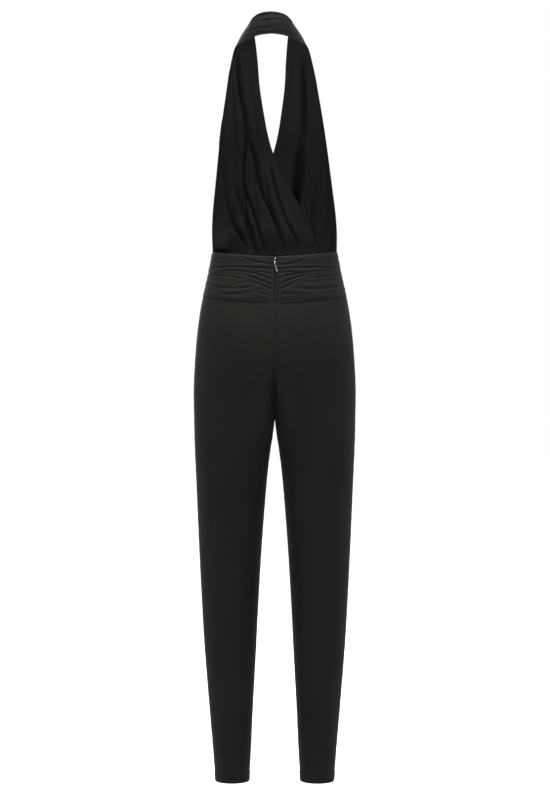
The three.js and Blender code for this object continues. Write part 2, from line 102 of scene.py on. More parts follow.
# Columns: the strap's outer edge (X, Y, Z), its neckline edge (X, Y, Z), and its bow
STRAP = np.array([
    [0, 2, -21.5, 0, -6, 21.5, 2],
    [23, -3, -23.5, 23, -11, 18, 2],
    [40.5, -17, -28.5, 35.5, -24, 10.5, 2],
    [56.5, -38, -33.5, 41, -40, 3.5, 2.5],
    [67.8, -62, -38, 41.6, -60, 3, 3],
    [74.8, -82, -53, 33.4, -84, -11, 4],
])

# Columns: height, armhole edge's X, neckline edge's X, armhole's Y, depth before it, and how
# much higher the neckline edge is than the armhole edge
CHEST = np.array([
    [-94, 83.6, 27.8, -92, 22, 34],
    [-130, 89.7, 24.6, -100, 36, 22],
    [-168, 95.9, 17.5, -105, 52, 10],
    [-206, 101.2, 9, -106, 68, 2],
    [-245, 106, -3.6, -104, 80, 0],
    [-283, 110.2, -24, -100, 88, 0],
    [-322, 114.5, -42, -96, 92, 0],
    [-360, 118.5, -64.5, -92, 94, 0],
    [-398, 120.4, -78, -88, 91, 0],
    [-436.7, 119.6, -86, -85, 86, 0],
])
print("the tables reach from", STRAP[:, 5].max(), "at the strap to", LEG[-1, 0], "at the hems")

# %% [markdown]
# ## Curves and grids
# A table gives a few heights only, so a smooth curve runs through its rows. A grid of points is
# one array of shape (rows, columns, 3), and its normals come from the two directions in which
# the grid runs.

# %% Curves and grids
def smooth(t):
    """Goes from 0 to 1 as t does, level at both ends: 3 t squared minus 2 t cubed."""
    t = np.clip(t, 0, 1)
    return t * t * (3 - 2 * t)


def mix(a, b, t):
    """a where t is 0, b where t is 1, and in proportion between."""
    return a + (b - a) * t


def curve(nodes, values, at):
    """A cubic in each interval. Its slope at a node is that of the chord between the node's two
    neighbours, and at an end that of the end chord."""
    nodes, values = np.asarray(nodes, float), np.asarray(values, float)
    if nodes[0] > nodes[-1]:
        nodes, values = nodes[::-1], values[::-1]
    last = len(nodes) - 1
    above, below = np.maximum(np.arange(last + 1) - 1, 0), np.minimum(np.arange(last + 1) + 1, last)
    slope = (values[below] - values[above]) / (nodes[below] - nodes[above])
    i = np.clip(np.searchsorted(nodes, at, side="right") - 1, 0, last - 1)
    step = nodes[i + 1] - nodes[i]
    t = np.clip((at - nodes[i]) / step, 0, 1)
    rise = t * t * (3 - 2 * t)
    leave, arrive = t * (1 - t) ** 2, t * t * (t - 1)
    return mix(values[i], values[i + 1], rise) + step * (leave * slope[i] + arrive * slope[i + 1])


def ring(table, z):
    """The table's columns after the first, each on its curve, at the heights z."""
    return [curve(table[:, 0], table[:, k], z) for k in range(1, table.shape[1])]


def stack(x, y, z):
    """One array of points from three arrays of coordinates."""
    return np.stack(np.broadcast_arrays(x, y, z), axis=-1)


def unit(v):
    """Vectors of length 1."""
    return v / np.maximum(np.linalg.norm(v, axis=-1, keepdims=True), 1e-12)


def normals(grid):
    """Rows direction times columns direction: it points out of the garment, because rows run
    down and columns run from the wearer's right to the left across the front."""
    return unit(np.cross(np.gradient(grid, axis=0), np.gradient(grid, axis=1)))


def hump(x, middle, width):
    """A bell of height 1: e to the power of minus ((x - middle) / width) squared."""
    return np.exp(-(((x - middle) / width) ** 2))


NEAR_EDGE = np.array([0, 0.25, 0.6, 1.1, 1.8, 2.8])
FIRST_STEP = 4.2


def spaced(low, high, count, edge_low, edge_high):
    """Even steps from low to high with a few close ones at each end, where an edge is rounded."""
    steps = np.linspace(low + FIRST_STEP * edge_low, high - FIRST_STEP * edge_high, count)
    return np.concatenate([low + NEAR_EDGE * edge_low, steps, (high - NEAR_EDGE * edge_high)[::-1]])


# %% [markdown]
# ## Cloth into a mesh
# Each piece of cloth is a closed wall. A Solidify modifier could thicken a sheet, but here the
# thickness changes along a seam or a hem and the rim has to be round. So the inner face is the
# grid, the outer face lies a wall's thickness along the normals, and a rounded rim joins the
# two, as the turned edge of a real garment does. The two faces take different finishes: the
# wrong side is flatter, and its colour is lighter than the right side's, as painted light on
# the inside of the garment.

# %% Cloth into a mesh
pieces = {}
RIM_SHARE = 0.33


def add_mesh(name, points, faces, materials, face_slots=None):
    """A smooth-shaded mesh object from points in millimetres and a list of faces."""
    mesh = bpy.data.meshes.new(name)
    mesh.from_pydata((np.asarray(points) * MM).tolist(), [], faces)
    mesh.shade_smooth()
    for material in materials:
        mesh.materials.append(material)
    if face_slots is not None:
        mesh.polygons.foreach_set("material_index", face_slots)
    mesh.update()
    piece = bpy.data.objects.new(name, mesh)
    bpy.context.scene.collection.objects.link(piece)
    pieces[name] = piece
    return piece


def grid_faces(rows, cols, first=0, flip=False, around=False):
    """Quads over a grid of vertex numbers. With around, the last column joins the first."""
    i, j = np.mgrid[0:rows - 1, 0:cols if around else cols - 1]
    k = (j + 1) % cols
    quad = np.stack([i * cols + j, (i + 1) * cols + j, (i + 1) * cols + k, i * cols + k], axis=-1)
    quad = quad.reshape(-1, 4) + first
    return quad[:, ::-1] if flip else quad


def mirror(grid):
    """The same piece on the other side of the body: X changes sign and columns run back."""
    return grid[:, ::-1] * np.array([-1, 1, 1])


def cloth(name, inside, thick, level=("z", "z"), limit=None, materials=None):
    """A wall of cloth. Outer face: inside plus normal times thick. Rim: half way between the two
    faces, pushed away from the piece by a third of the thickness. level says along which axis
    the first and the last row keep the inner face's place, so that seams meet squarely."""
    thick = np.broadcast_to(thick, inside.shape[:2])
    outside = inside + normals(inside) * thick[..., None]
    for row, axis in zip((0, -1), level):
        column = "xyz".index(axis)
        outside[row, :, column] = inside[row, :, column]
    if limit is not None:
        inside, outside = limit(inside), limit(outside)
    rows, cols = thick.shape
    number = np.arange(rows * cols).reshape(rows, cols)
    loop = np.concatenate([number[:-1, 0], number[-1, :-1], number[:0:-1, -1], number[0, :0:-1]])
    inner_one = number[1:-1, 1:-1]
    near = np.pad(inner_one, 1, mode="edge").ravel()[loop]
    flat_in, flat_out = inside.reshape(-1, 3), outside.reshape(-1, 3)
    middle = (flat_in + flat_out) / 2
    away = unit(middle[loop] - middle[near])
    rim = middle[loop] + away * thick.ravel()[loop][:, None] * RIM_SHARE
    if limit is not None:
        rim = limit(rim)
    size, turn = rows * cols, np.roll(np.arange(len(loop)), -1)
    out_loop, in_loop, rim_loop = loop, loop + size, np.arange(len(loop)) + 2 * size
    over = np.stack([out_loop[turn], out_loop, rim_loop, rim_loop[turn]], axis=-1)
    under = np.stack([rim_loop[turn], rim_loop, in_loop, in_loop[turn]], axis=-1)
    outer_faces = grid_faces(rows, cols)
    inner_faces = grid_faces(rows, cols, size, flip=True)
    faces = np.concatenate([outer_faces, over, under, inner_faces])
    slots = np.zeros(len(faces), np.int32)
    slots[-len(inner_faces):] = 1
    points = np.concatenate([flat_out, flat_in, rim])
    add_mesh(name, points, faces.tolist(), materials or [crepe, crepe_inside_painted_light], slots)
    print(f"{name}: {len(faces)} faces")


# %% [markdown]
# ## Finishes
# Stretch crepe is a matte cloth with a fine pebbled face. It looks black, but against a white
# room it is a very dark warm grey. A real one has slight differences in tone where it is
# stretched, a soft bloom at grazing angles from its fibre ends, and a grain too small to see
# from a few steps away. So the colour is nearly even, the grain is a bump under half a
# millimetre high, and the sheen is set on the shader itself.

# %% Material helpers
def new_material(name, roughness, specular=0.5, metallic=0.0):
    """A material with a Principled shader, and its node tree, shader and object coordinates."""
    material = bpy.data.materials.new(name)
    material.use_nodes = True
    tree = material.node_tree
    shader = tree.nodes["Principled BSDF"]
    shader.inputs["Roughness"].default_value = roughness
    shader.inputs["Specular IOR Level"].default_value = specular
    shader.inputs["Metallic"].default_value = metallic
    where = tree.nodes.new("ShaderNodeTexCoord").outputs["Object"]
    return material, tree, shader, where


def add_node(tree, kind, links=(), **values):
    """A node with some inputs set by name and others linked."""
    node = tree.nodes.new(kind)
    for name, value in values.items():
        node.inputs[name.replace("_", " ")].default_value = value
    for name, source in links:
        tree.links.new(source, node.inputs[name])
    return node


def vary_roughness(tree, shader, factor, low, high):
    """Roughness that goes from low to high with a factor from 0 to 1."""
    rough = add_node(tree, "ShaderNodeMapRange", [("Value", factor)], To_Min=low, To_Max=high)
    tree.links.new(rough.outputs["Result"], shader.inputs["Roughness"])


def fine_relief(tree, shader, height, strength):
    """A bump up to a fifth of a millimetre high."""
    bump = add_node(tree, "ShaderNodeBump", [("Height", height)],
                    Strength=strength, Distance=0.0002)
    tree.links.new(bump.outputs["Normal"], shader.inputs["Normal"])


def between(tree, factor, low, high):
    """A colour that goes from low to high with a factor from 0 to 1."""
    ramp = tree.nodes.new("ShaderNodeValToRGB")
    ramp.color_ramp.elements[0].color = (*low, 1)
    ramp.color_ramp.elements[1].color = (*high, 1)
    ramp.color_ramp.elements[0].position = 0.3
    ramp.color_ramp.elements[1].position = 0.7
    tree.links.new(factor, ramp.inputs["Fac"])
    return ramp.outputs["Color"]


# %% Crepe, right side and wrong side
def make_crepe(name, dark, light, roughness, specular, sheen, grain):
    """Crepe: two close tones mixed by a slow noise, under a fine pebble and a broad softness."""
    material, tree, shader, where = new_material(name, roughness, specular)
    shader.inputs["Sheen Weight"].default_value = sheen
    shader.inputs["Sheen Roughness"].default_value = 0.45
    shader.inputs["Sheen Tint"].default_value = (1.0, 0.97, 0.9, 1)
    slow = add_node(tree, "ShaderNodeTexNoise", [("Vector", where)], Scale=9.0, Detail=3.0)
    colour = between(tree, slow.outputs["Fac"], dark, light)
    tree.links.new(colour, shader.inputs["Base Color"])
    pebble = add_node(tree, "ShaderNodeTexVoronoi", [("Vector", where)], Scale=1500.0)
    fibre = add_node(tree, "ShaderNodeTexNoise", [("Vector", where)], Scale=650.0, Detail=2.0)
    vary_roughness(tree, shader, fibre.outputs["Fac"], roughness - 0.06, roughness + 0.06)
    small = add_node(tree, "ShaderNodeBump", [("Height", pebble.outputs["Distance"])],
                     Strength=grain, Distance=0.0002)
    heights = [("Height", fibre.outputs["Fac"]), ("Normal", small.outputs["Normal"])]
    both = add_node(tree, "ShaderNodeBump", heights, Strength=grain, Distance=0.0003)
    tree.links.new(both.outputs["Normal"], shader.inputs["Normal"])
    return material


crepe = make_crepe("crepe", (0.0064, 0.0060, 0.0050), (0.0076, 0.0072, 0.0060),
                   roughness=0.78, specular=0.06, sheen=0.012, grain=0.35)
# Painted light: the wrong side's colour is lighter than the right side's, standing in for light on
# the inside of the garment.
crepe_inside_painted_light = make_crepe("crepe_inside_painted_light", (0.0098, 0.0097, 0.0093), (0.0115, 0.0114, 0.0109),
                          roughness=0.85, specular=0.05, sheen=0.004, grain=0.25)
print("crepe: two sides made")


# %% Tape, thread and metal
def make_tape():
    """Woven tape: fine cross ribs from a wave along the tape's length."""
    material, tree, shader, where = new_material("tape", 0.8, 0.05)
    shader.inputs["Base Color"].default_value = (0.004, 0.004, 0.0037, 1)
    ribs = add_node(tree, "ShaderNodeTexWave", [("Vector", where)], Scale=320.0)
    ribs.bands_direction = "Z"
    fine_relief(tree, shader, ribs.outputs["Fac"], 0.3)
    return material


def make_thread_painted_shade():
    """Polyester thread: a little shinier than the crepe, with a slow change of tone. It is darker
    than the crepe, partly as its own black and partly as painted shade for the dimples of the
    tacks and the groove of the row of stitches.
    """
    material, tree, shader, where = new_material("thread_painted_shade", 0.75, 0.08)
    tone = add_node(tree, "ShaderNodeTexNoise", [("Vector", where)], Scale=200.0)
    colour = between(tree, tone.outputs["Fac"], (0.0018, 0.0018, 0.0016), (0.003, 0.003, 0.0027))
    tree.links.new(colour, shader.inputs["Base Color"])
    return material


def make_metal():
    """Polished nickel with a faint haze: a noise varies its roughness."""
    material, tree, shader, where = new_material("nickel", 0.24, 0.5, 1.0)
    shader.inputs["Base Color"].default_value = (0.5, 0.495, 0.485, 1)
    haze = add_node(tree, "ShaderNodeTexNoise", [("Vector", where)], Scale=420.0, Detail=4.0)
    vary_roughness(tree, shader, haze.outputs["Fac"], 0.14, 0.36)
    return material


def make_lacquer():
    """Black lacquer on the slider: glossy, with a little orange peel."""
    material, tree, shader, where = new_material("black_lacquer", 0.22, 0.5)
    shader.inputs["Base Color"].default_value = (0.006, 0.006, 0.006, 1)
    peel = add_node(tree, "ShaderNodeTexNoise", [("Vector", where)], Scale=700.0)
    fine_relief(tree, shader, peel.outputs["Fac"], 0.2)
    return material


tape_cloth, thread_painted_shade, nickel, lacquer = make_tape(), make_thread_painted_shade(), make_metal(), make_lacquer()
print("zip finishes:", tape_cloth.name, thread_painted_shade.name, nickel.name, lacquer.name)

# %% [markdown]
# ## The body of the trousers
# It could be four flat panels sewn and filled by a cloth simulation, but a form that has to agree
# with the frame is better worked out. Two rings describe it: the seat's ring goes round the
# whole body and the leg's ring round one leg. Between the hip and the crotch each half of the
# seat's ring closes into a leg's. If every point did so at an even pace the crotch would be a V,
# so the points on the centre seam wait, and then come together on a quarter circle: the crotch
# seam is a round U, as it is cut.

# %% Seat, legs and trousers
def seat_angle(c):
    """c is -1 at the centre front, 0 at the side seam and 1 at the centre back. The angle runs
    ahead of it near the side seam: a quarter turn times c times (1 + 2/3 (1 - |c|))."""
    return np.pi / 2 * c * (1 + 2 / 3 * (1 - np.abs(c)))


def seat_point(c, z):
    """An ellipse with one half width and two depths, one behind the side seam and one before."""
    half, mid, back, front = ring(SEAT, z)
    angle = seat_angle(c)
    depth = np.where(angle > 0, back, front)
    return stack(half * np.cos(angle), mid + depth * np.sin(angle), z)


def leg_point(c, z):
    """An ellipse round the leg's own axis, evenly spaced in angle."""
    axis, half, mid, depth = ring(LEG, z)
    return stack(axis + half * np.cos(np.pi * c), mid + depth * np.sin(np.pi * c), z)


SEAM_STARTS, ROUND, LATE = 0.8, 1.6, 2.6


def trouser_point(c, z):
    """The seat's point moved towards the leg's point by a share that grows from 0 to 1 down the
    rise: as smooth(t) to the 2.6, or near the centre seam as the round U that the crotch seam
    is, 1 - (1 - t to the 1.6) to the 1 / 1.6. Away from that seam it ends a little lower."""
    by_seam = smooth((np.abs(c) - SEAM_STARTS) / (1 - SEAM_STARTS))
    t = np.clip((CROTCH_Z + RISE_BLEND - z) / (RISE_BLEND + UNDER_SEAT * (1 - by_seam)), 0, 1)
    round_seam = 1 - (1 - t ** ROUND) ** (1 / ROUND)
    share = mix(smooth(t) ** LATE, round_seam, by_seam)
    return mix(seat_point(c, z), leg_point(c, z), share[..., None])


def sunk(c):
    """How much of the centre back's drop reaches a point: sine squared, behind only."""
    return np.maximum(0, np.sin(seat_angle(c))) ** 2


def waist_edge(c):
    """Height of the yoke's top edge."""
    return WAIST_Z - WAIST_SINK * sunk(c)


def yoke_seam(c):
    """Height of the seam between the yoke and the trousers."""
    return WAIST_Z - YOKE_DEPTH - SEAM_SINK * sunk(c)


# %% [markdown]
# ## Trouser panels
# The cloth of the legs is smooth and hangs close. What makes it read as cloth is small: a
# shallow valley where each seam is pressed, the slight pucker of the stitching beside it, a
# double thickness at the turned hem, and a few soft drags where the leg bends. A bump in the
# material could show them too, but it has no outline and throws no shadow, so they are moved
# points of the mesh, with close grid lines where a seam or an edge needs them.

# %% Trouser panels
HEM_BAND, HEM_EXTRA = 19, 0.75
CENTRE_SEED = 11
# The row of stitches beside the zip ends here. The trousers and the sewing both use it
STITCH_END_Z, STITCH_X = -541, 4.5
# Millimetres round the seat for each unit of c, at the side seam and at the centre
SIDE_PACE, CENTRE_PACE = 290, 240
SIDE_GAP, CENTRE_GAP = TOUCH / 2 / SIDE_PACE, TOUCH / 2 / CENTRE_PACE
# Depth and half width of the valley of a pressed seam, and of the seam under the yoke
PRESSED = (0.5, 1.1)
UNDER_YOKE = (0.6, 0.9)
DEEPEST_VALLEY = 0.6
# The centre back dips under the yoke: how deep, over which half width, and how far down
DIP, DIP_WIDTH, DIP_REACH = 0.9, 6, 16
# Depth and half width of the groove that the row of stitches draws, below the yoke and in it
LEG_GROOVE = (0.8, 0.75)
YOKE_GROOVE = (1.6, 0.9)
# Grid lines of a panel: across it, down the seat, down the rise and down the leg
ACROSS, SEAT_ROWS, RISE_ROWS, LEG_ROWS = 46, 26, 44, 150
EDGE_STEP = 0.0032
# Heights above the hem where the turned edge needs close grid lines
HEM_ROWS = np.array([21, 20, 19.3, 18.8, 18.3, 17.5, 15, 12, 9, 6, 4, 2.6, 1.5, 0.8, 0.3, 0])


def waves(u, count, shortest, longest, seed):
    """A sum of sines of several wavelengths, the longer the higher, between about -1 and 1."""
    source = np.random.default_rng(seed)
    lengths = np.geomspace(shortest, longest, count)
    phases = source.uniform(0, 2 * np.pi, count)
    heights = lengths / lengths.sum()
    return sum(h * np.sin(2 * np.pi * u / w + p) for h, w, p in zip(heights, lengths, phases))


def pucker(distance, along, seed):
    """The slight waves that stitching draws up beside a seam. They die out in 9."""
    return 0.16 * waves(along, 4, 7, 31, seed) * hump(distance, 3, 5)


def seam_relief(distance, along, seed):
    """A pressed seam: a valley 0.55 deep beside the edge, and its pucker."""
    return pucker(distance, along, seed) - 0.55 * hump(distance, 0, 1.1)


# Soft drags in the legs. Columns: c and Z at the middle, length across, height, tilt, depth
DRAGS = np.array([
    [0.52, -1052, 0.30, 13, 26, 0.75],
    [0.60, -1082, 0.26, 11, -18, 0.6],
    [0.44, -1118, 0.24, 15, 30, 0.5],
    [0.70, -800, 0.16, 16, 60, 0.9],
    [0.55, -838, 0.20, 14, 34, 0.55],
    [-0.55, -1040, 0.30, 14, -22, 0.6],
    [-0.45, -1085, 0.28, 12, 20, 0.5],
    [-0.72, -742, 0.16, 9, 70, 1.0],
    [-0.66, -716, 0.18, 9, 62, 0.8],
    [-0.60, -688, 0.22, 10, 44, 0.6],
    [0.50, -1392, 0.34, 12, 10, 0.55],
    [-0.50, -1404, 0.36, 11, -8, 0.6],
])


def drags(c, z):
    """Each drag is a bell across a tilted line, faded towards the line's ends."""
    total = np.zeros(np.broadcast(c, z).shape)
    for at_c, at_z, length, height, tilt, depth in DRAGS:
        line = at_z + tilt * (c - at_c) / length
        total = total - depth * hump(z, line, height) * hump(c, at_c, length)
    return total


def panel_heights(c):
    """Heights of a panel's grid lines: even from the yoke's seam to the rise, then as a sine
    that closes up towards the crotch, even down the leg, and close again at the hem."""
    rise_top = CROTCH_Z + RISE_BLEND
    top = yoke_seam(c)[None] - TOUCH
    seat_z = mix(top, rise_top, np.linspace(0, 0.995, SEAT_ROWS)[:, None])
    rise_z = rise_top - RISE_BLEND * np.sin(np.linspace(0, np.pi / 2, RISE_ROWS))[:, None] + 0 * c
    low = np.linspace(CROTCH_Z, HEM_Z + HEM_BAND + 4, LEG_ROWS)[1:]
    leg_z = np.concatenate([low, HEM_Z + HEM_ROWS])[:, None] + 0 * c
    return np.concatenate([seat_z, rise_z, leg_z]), top


def trouser_grid(behind, seed, stitched):
    """Points of one leg's back or front half on the wearer's left, and the wall's thickness.
    The surface is the trousers' own, moved along its normals by pucker, drags and broad waves.
    The pressed seams are taken from the thickness, so that the inside stays smooth. stitched is
    1 where the zip's row of stitches runs on below the yoke, and 0 elsewhere."""
    c = spaced(SIDE_GAP, 1 - CENTRE_GAP, ACROSS, EDGE_STEP, EDGE_STEP)
    c = c if behind else -c[::-1]
    z, top = panel_heights(c)
    c = np.broadcast_to(c, z.shape)
    grid = trouser_point(c, z)
    axis, half, mid, depth = ring(LEG, z)
    girth = np.where(z > CROTCH_Z, CENTRE_PACE, np.pi * np.sqrt(half * depth))
    to_side, to_centre = np.abs(c) * girth, (1 - np.abs(c)) * girth
    relief = pucker(to_side, z, seed) + pucker(to_centre, z, CENTRE_SEED)
    relief += drags(c, z) * smooth(to_side / 12) * smooth(to_centre / 12)
    broad = 0.35 * waves(z + 90 * c, 5, 40, 210, seed + 2)
    relief += broad * smooth(to_side / 20) * smooth(to_centre / 20)
    if behind:
        relief -= DIP * hump(to_centre, 0, DIP_WIDTH) * smooth((z - top + DIP_REACH) / DIP_REACH)
        groove = LEG_GROOVE[0] * hump(to_centre, STITCH_X, LEG_GROOVE[1])
        relief -= stitched * (groove * smooth((z - STITCH_END_Z + 2) / 4))
    grid = grid + normals(grid) * relief[..., None]
    on_seam = -1 if behind else 0
    seam_x = TOUCH / 2 if behind else 0
    grid[:, on_seam, 0] = np.where(z[:, 0] > CROTCH_Z + 2, seam_x, grid[:, on_seam, 0])
    valley = PRESSED[0] * (hump(to_side, 0, PRESSED[1]) + hump(to_centre, 0, PRESSED[1]))
    valley += UNDER_YOKE[0] * hump(z, top, UNDER_YOKE[1])
    in_hem = smooth((HEM_Z + HEM_BAND - z) / 1.2)
    hem_edge = 1 - 0.5 * hump(z, HEM_Z, 1.2)
    return grid, (WALL + HEM_EXTRA * in_hem) * hem_edge - np.minimum(valley, DEEPEST_VALLEY)


def keep_apart(gap):
    """Keeps a piece of the left side at least half a gap from the centre plane."""
    def limit(points):
        points = points.copy()
        points[..., 0] = np.maximum(points[..., 0], gap / 2)
        return points
    return limit


def both_sides(name, make):
    """Makes the left piece and the right one, which is the left one's mirror with its own seed."""
    over_x = np.array([-1, 1, 1])
    for side, word in ((1, "left"), (-1, "right")):
        grid, thick, gap, level = make(side)
        apart = keep_apart(gap)
        if side > 0:
            cloth(f"{name}_{word}_cloth", grid, thick, level, apart)
        else:
            thick = np.broadcast_to(thick, grid.shape[:2])[:, ::-1]
            cloth(f"{name}_{word}_cloth", mirror(grid), thick, level,
                  lambda points: apart(points * over_x) * over_x)


def leg_half(behind):
    """One trouser panel of each leg."""
    def make(side):
        grid, thick = trouser_grid(behind, 10 if side > 0 else 40, 1 if side < 0 else 0)
        return grid, thick, TOUCH if behind else 0, ("z", "z")
    return make


both_sides("leg_back", leg_half(True))
both_sides("leg_front", leg_half(False))

# %% [markdown]
# ## The gathered yoke
# The yoke is cut longer than it is sewn. Its spare depth is drawn up along the zip and in the
# side seams, so creases fan out from there and die away across the back. Simulated cloth would
# gather too, but the creases would fall where chance puts them. Each crease here is a line
# through three points with its own width and depth. It is a sharp valley with a soft ridge on
# each side, which is what drawn-up cloth makes.

# %% Creases of the yoke
# Columns: X and Z at the crease's inner end, its middle and its outer end, width and depth
CREASES_LEFT = np.array([
    [4, -464, 30, -461, 60, -451, 1.9, 1.7],
    [4, -474, 60, -470, 124, -470, 1.8, 2.3],
    [58, -479, 80, -476, 108, -478, 1.7, 1.2],
    [4, -494, 26, -486, 58, -479, 1.7, 2.0],
    [4, -505, 22, -498, 56, -485, 1.8, 2.2],
    [62, -493, 93, -487, 126, -483, 2.0, 1.5],
    [4, -513, 20, -507, 38, -500, 2.2, 1.3],
    [44, -508, 84, -511, 132, -499, 2.4, 1.9],
    [4, -529, 14, -525, 30, -521, 2.2, 1.3],
    [96, -535, 114, -531, 140, -524, 2.2, 1.5],
    [46, -536, 66, -538, 90, -537, 2.4, 0.9],
    [100, -461, 114, -459, 126, -455, 1.8, 1.0],
    [4, -483, 16, -481, 40, -478, 1.5, 0.9],
    [60, -521, 86, -523, 108, -519, 2.6, 0.9],
])
CREASES_RIGHT = np.array([
    [4, -466, 30, -463, 60, -453, 1.9, 1.7],
    [4, -474, 60, -470.5, 124, -470, 1.8, 2.3],
    [22, -479, 57, -480.5, 92, -475, 1.7, 1.4],
    [4, -491, 28, -486, 60, -480, 1.7, 2.1],
    [6, -504, 30, -494, 60, -484, 1.8, 2.2],
    [8, -514, 20, -509, 38, -499, 2.2, 1.6],
    [82, -491, 104, -486, 128, -481, 2.0, 1.5],
    [44, -511, 80, -512, 128, -504, 2.4, 1.8],
    [96, -533, 116, -530, 140, -523, 2.2, 1.6],
    [4, -524, 16, -524, 32, -522, 2.2, 1.1],
    [96, -462, 110, -460, 126, -456, 1.8, 1.0],
    [52, -534, 70, -537, 92, -535, 2.4, 0.9],
    [58, -500, 74, -498, 96, -495, 2.2, 0.8],
])
CREASES_FRONT = np.array([
    [20, -453, 70, -452, 122, -449, 2.2, 1.4],
    [-24, -470, 60, -468, 124, -462, 2.3, 2.0],
    [26, -483, 80, -482, 127, -475, 2.2, 1.7],
    [-30, -498, 70, -497, 130, -489, 2.5, 1.8],
    [36, -511, 90, -510, 134, -504, 2.5, 1.5],
    [72, -460, 100, -459, 124, -456, 1.8, 1.0],
    [66, -476, 96, -475, 126, -469, 1.8, 1.1],
    [60, -490, 96, -489, 129, -482, 1.9, 1.2],
    [88, -519, 112, -518, 138, -513, 2.2, 1.1],
])


def creased(table, x, z):
    """Sum over the creases: a valley of its width and depth, less a third of that as a ridge on
    each side, faded at both ends. The line is the parabola through the crease's three points."""
    relief = np.zeros(x.shape)
    for x0, z0, x1, z1, x2, z2, width, depth in table:
        line = (z0 * (x - x1) * (x - x2) / ((x0 - x1) * (x0 - x2))
                + z1 * (x - x0) * (x - x2) / ((x1 - x0) * (x1 - x2))
                + z2 * (x - x0) * (x - x1) / ((x2 - x0) * (x2 - x1)))
        off = (z - line) / width
        reach = smooth((x - x0 + 5) / 10) * smooth((x2 - x + 9) / 20)
        ridges = 0.34 * (hump(off, 2.1, 1.1) + hump(off, -2.1, 1.1))
        relief += depth * reach * (ridges - np.exp(-off * off))
    return relief


# %% Yoke pieces
YOKE_SWELL, HELD_SHARE, HELD_HEIGHT = 2.1, 0.25, 7
CREASE_SHARE = 0.82
ZIP_TOP_Z, ZIP_END_Z = -453, -634
# Half the zip's gap: closed, half open above the first height, and spread above the second
CLOSED, OPEN, OPEN_Z = 0.05, 1.0, -520
SPREAD, SPREAD_Z = 1.6, -468
# The body's own Y at the waist, from which the yoke stands away
BODY_Y = -85


def yoke_point(c, a):
    """The seat's ring between the top edge (a = 0) and the lower seam (a = 1), a little proud of
    it at the top, where the yoke lies over the fronts' seam allowance."""
    z = mix(waist_edge(c), yoke_seam(c), a)
    point = seat_point(c, z)
    away = unit(point - stack(0 * z, BODY_Y + 0 * z, z))
    return point + away * (YOKE_PROUD * (1 - smooth(a)))[..., None]


def rolled_top(to_top):
    """The turned top edge: a low ridge 2.6 down from it, and a fall of 1.1 to the edge."""
    return 0.4 * hump(to_top, 2.6, 1.6) - 1.1 * (1 - smooth(to_top / 2.6))


def held_in(to_top, to_seam, seam_height):
    """The share of the yoke's swell and creases that is left near its two sewn edges."""
    near = np.minimum(to_top / HELD_HEIGHT, to_seam / seam_height)
    return mix(HELD_SHARE, 1, smooth(near))


# For each side: the tack's first X on its own half, its last X, its Z
TACKS = {1: (-1.0, 4.8, -511.5), -1: (2.0, 8.6, -517.5)}
TACK_DEPTH = 0.9


def tack_dimple(side, x, z):
    """1 along the tack and 0 away from it, with soft ends."""
    first, last, height = TACKS[side]
    return hump(z, height, 1.0) * smooth((x - first) / 0.8) * smooth((last - x) / 0.8)


def yoke_back(side):
    """A back half: creases fan from the zip and the side seam over a soft swell. The centre edge
    then moves to half the zip's gap, which is wide at the top and closed below."""
    c = spaced(SIDE_GAP, 1, 118, 0.003, 0.002)
    a = spaced(0, 1, 104, 0.006, 0.006)
    c, a = np.meshgrid(c, a)
    grid = yoke_point(c, a)
    x, z = grid[..., 0], grid[..., 2]
    table = CREASES_LEFT if side > 0 else CREASES_RIGHT
    to_top, to_seam = a * YOKE_DEPTH, (1 - a) * YOKE_DEPTH
    held = held_in(to_top, to_seam, mix(18, HELD_HEIGHT, smooth((x - 30) / 40)))
    by_zip = smooth((x - 2) / 7)
    swell = YOKE_SWELL * held * smooth((x - 6) / 9)
    swell = swell + CREASE_SHARE * creased(table, x, z) * held * by_zip
    swell += 0.5 * waves(z * 1.6 + 0.22 * x, 4, 9, 34, 61 - side) * held * by_zip
    swell += 0.22 * waves(z * 2.2, 4, 4, 13, 64 - side) * hump(x, 9, 12) * held
    swell += seam_relief(x * 1.3, z, 70 - side) * 0.6 + seam_relief(c * 200, z, 74 - side)
    swell += rolled_top(to_top) - UNDER_YOKE[0] * hump(to_seam, 0, UNDER_YOKE[1])
    if side < 0:
        stitched = smooth((ZIP_TOP_Z - 12 - z) / 10)
        flanks = 0.4 * hump(x, 2.4, 0.8) + 0.4 * hump(x, 6.9, 1.0)
        swell += stitched * (flanks - YOKE_GROOVE[0] * hump(x, STITCH_X, YOKE_GROOVE[1]))
    swell -= 1.3 * np.exp(-((x / 1.5) ** 2)) + TACK_DEPTH * tack_dimple(side, x, z)
    grid = grid + normals(grid) * swell[..., None]
    half_gap = mix(CLOSED, OPEN, smooth((z - OPEN_Z) / 6))
    half_gap = half_gap + SPREAD * smooth((z - SPREAD_Z) / 22) ** 2
    grid[..., 0] = half_gap + (x - x.min()) * (x.max() - half_gap) / (x.max() - x.min())
    return grid, YOKE_WALL + 0 * c, 0.1, ("z", "z")


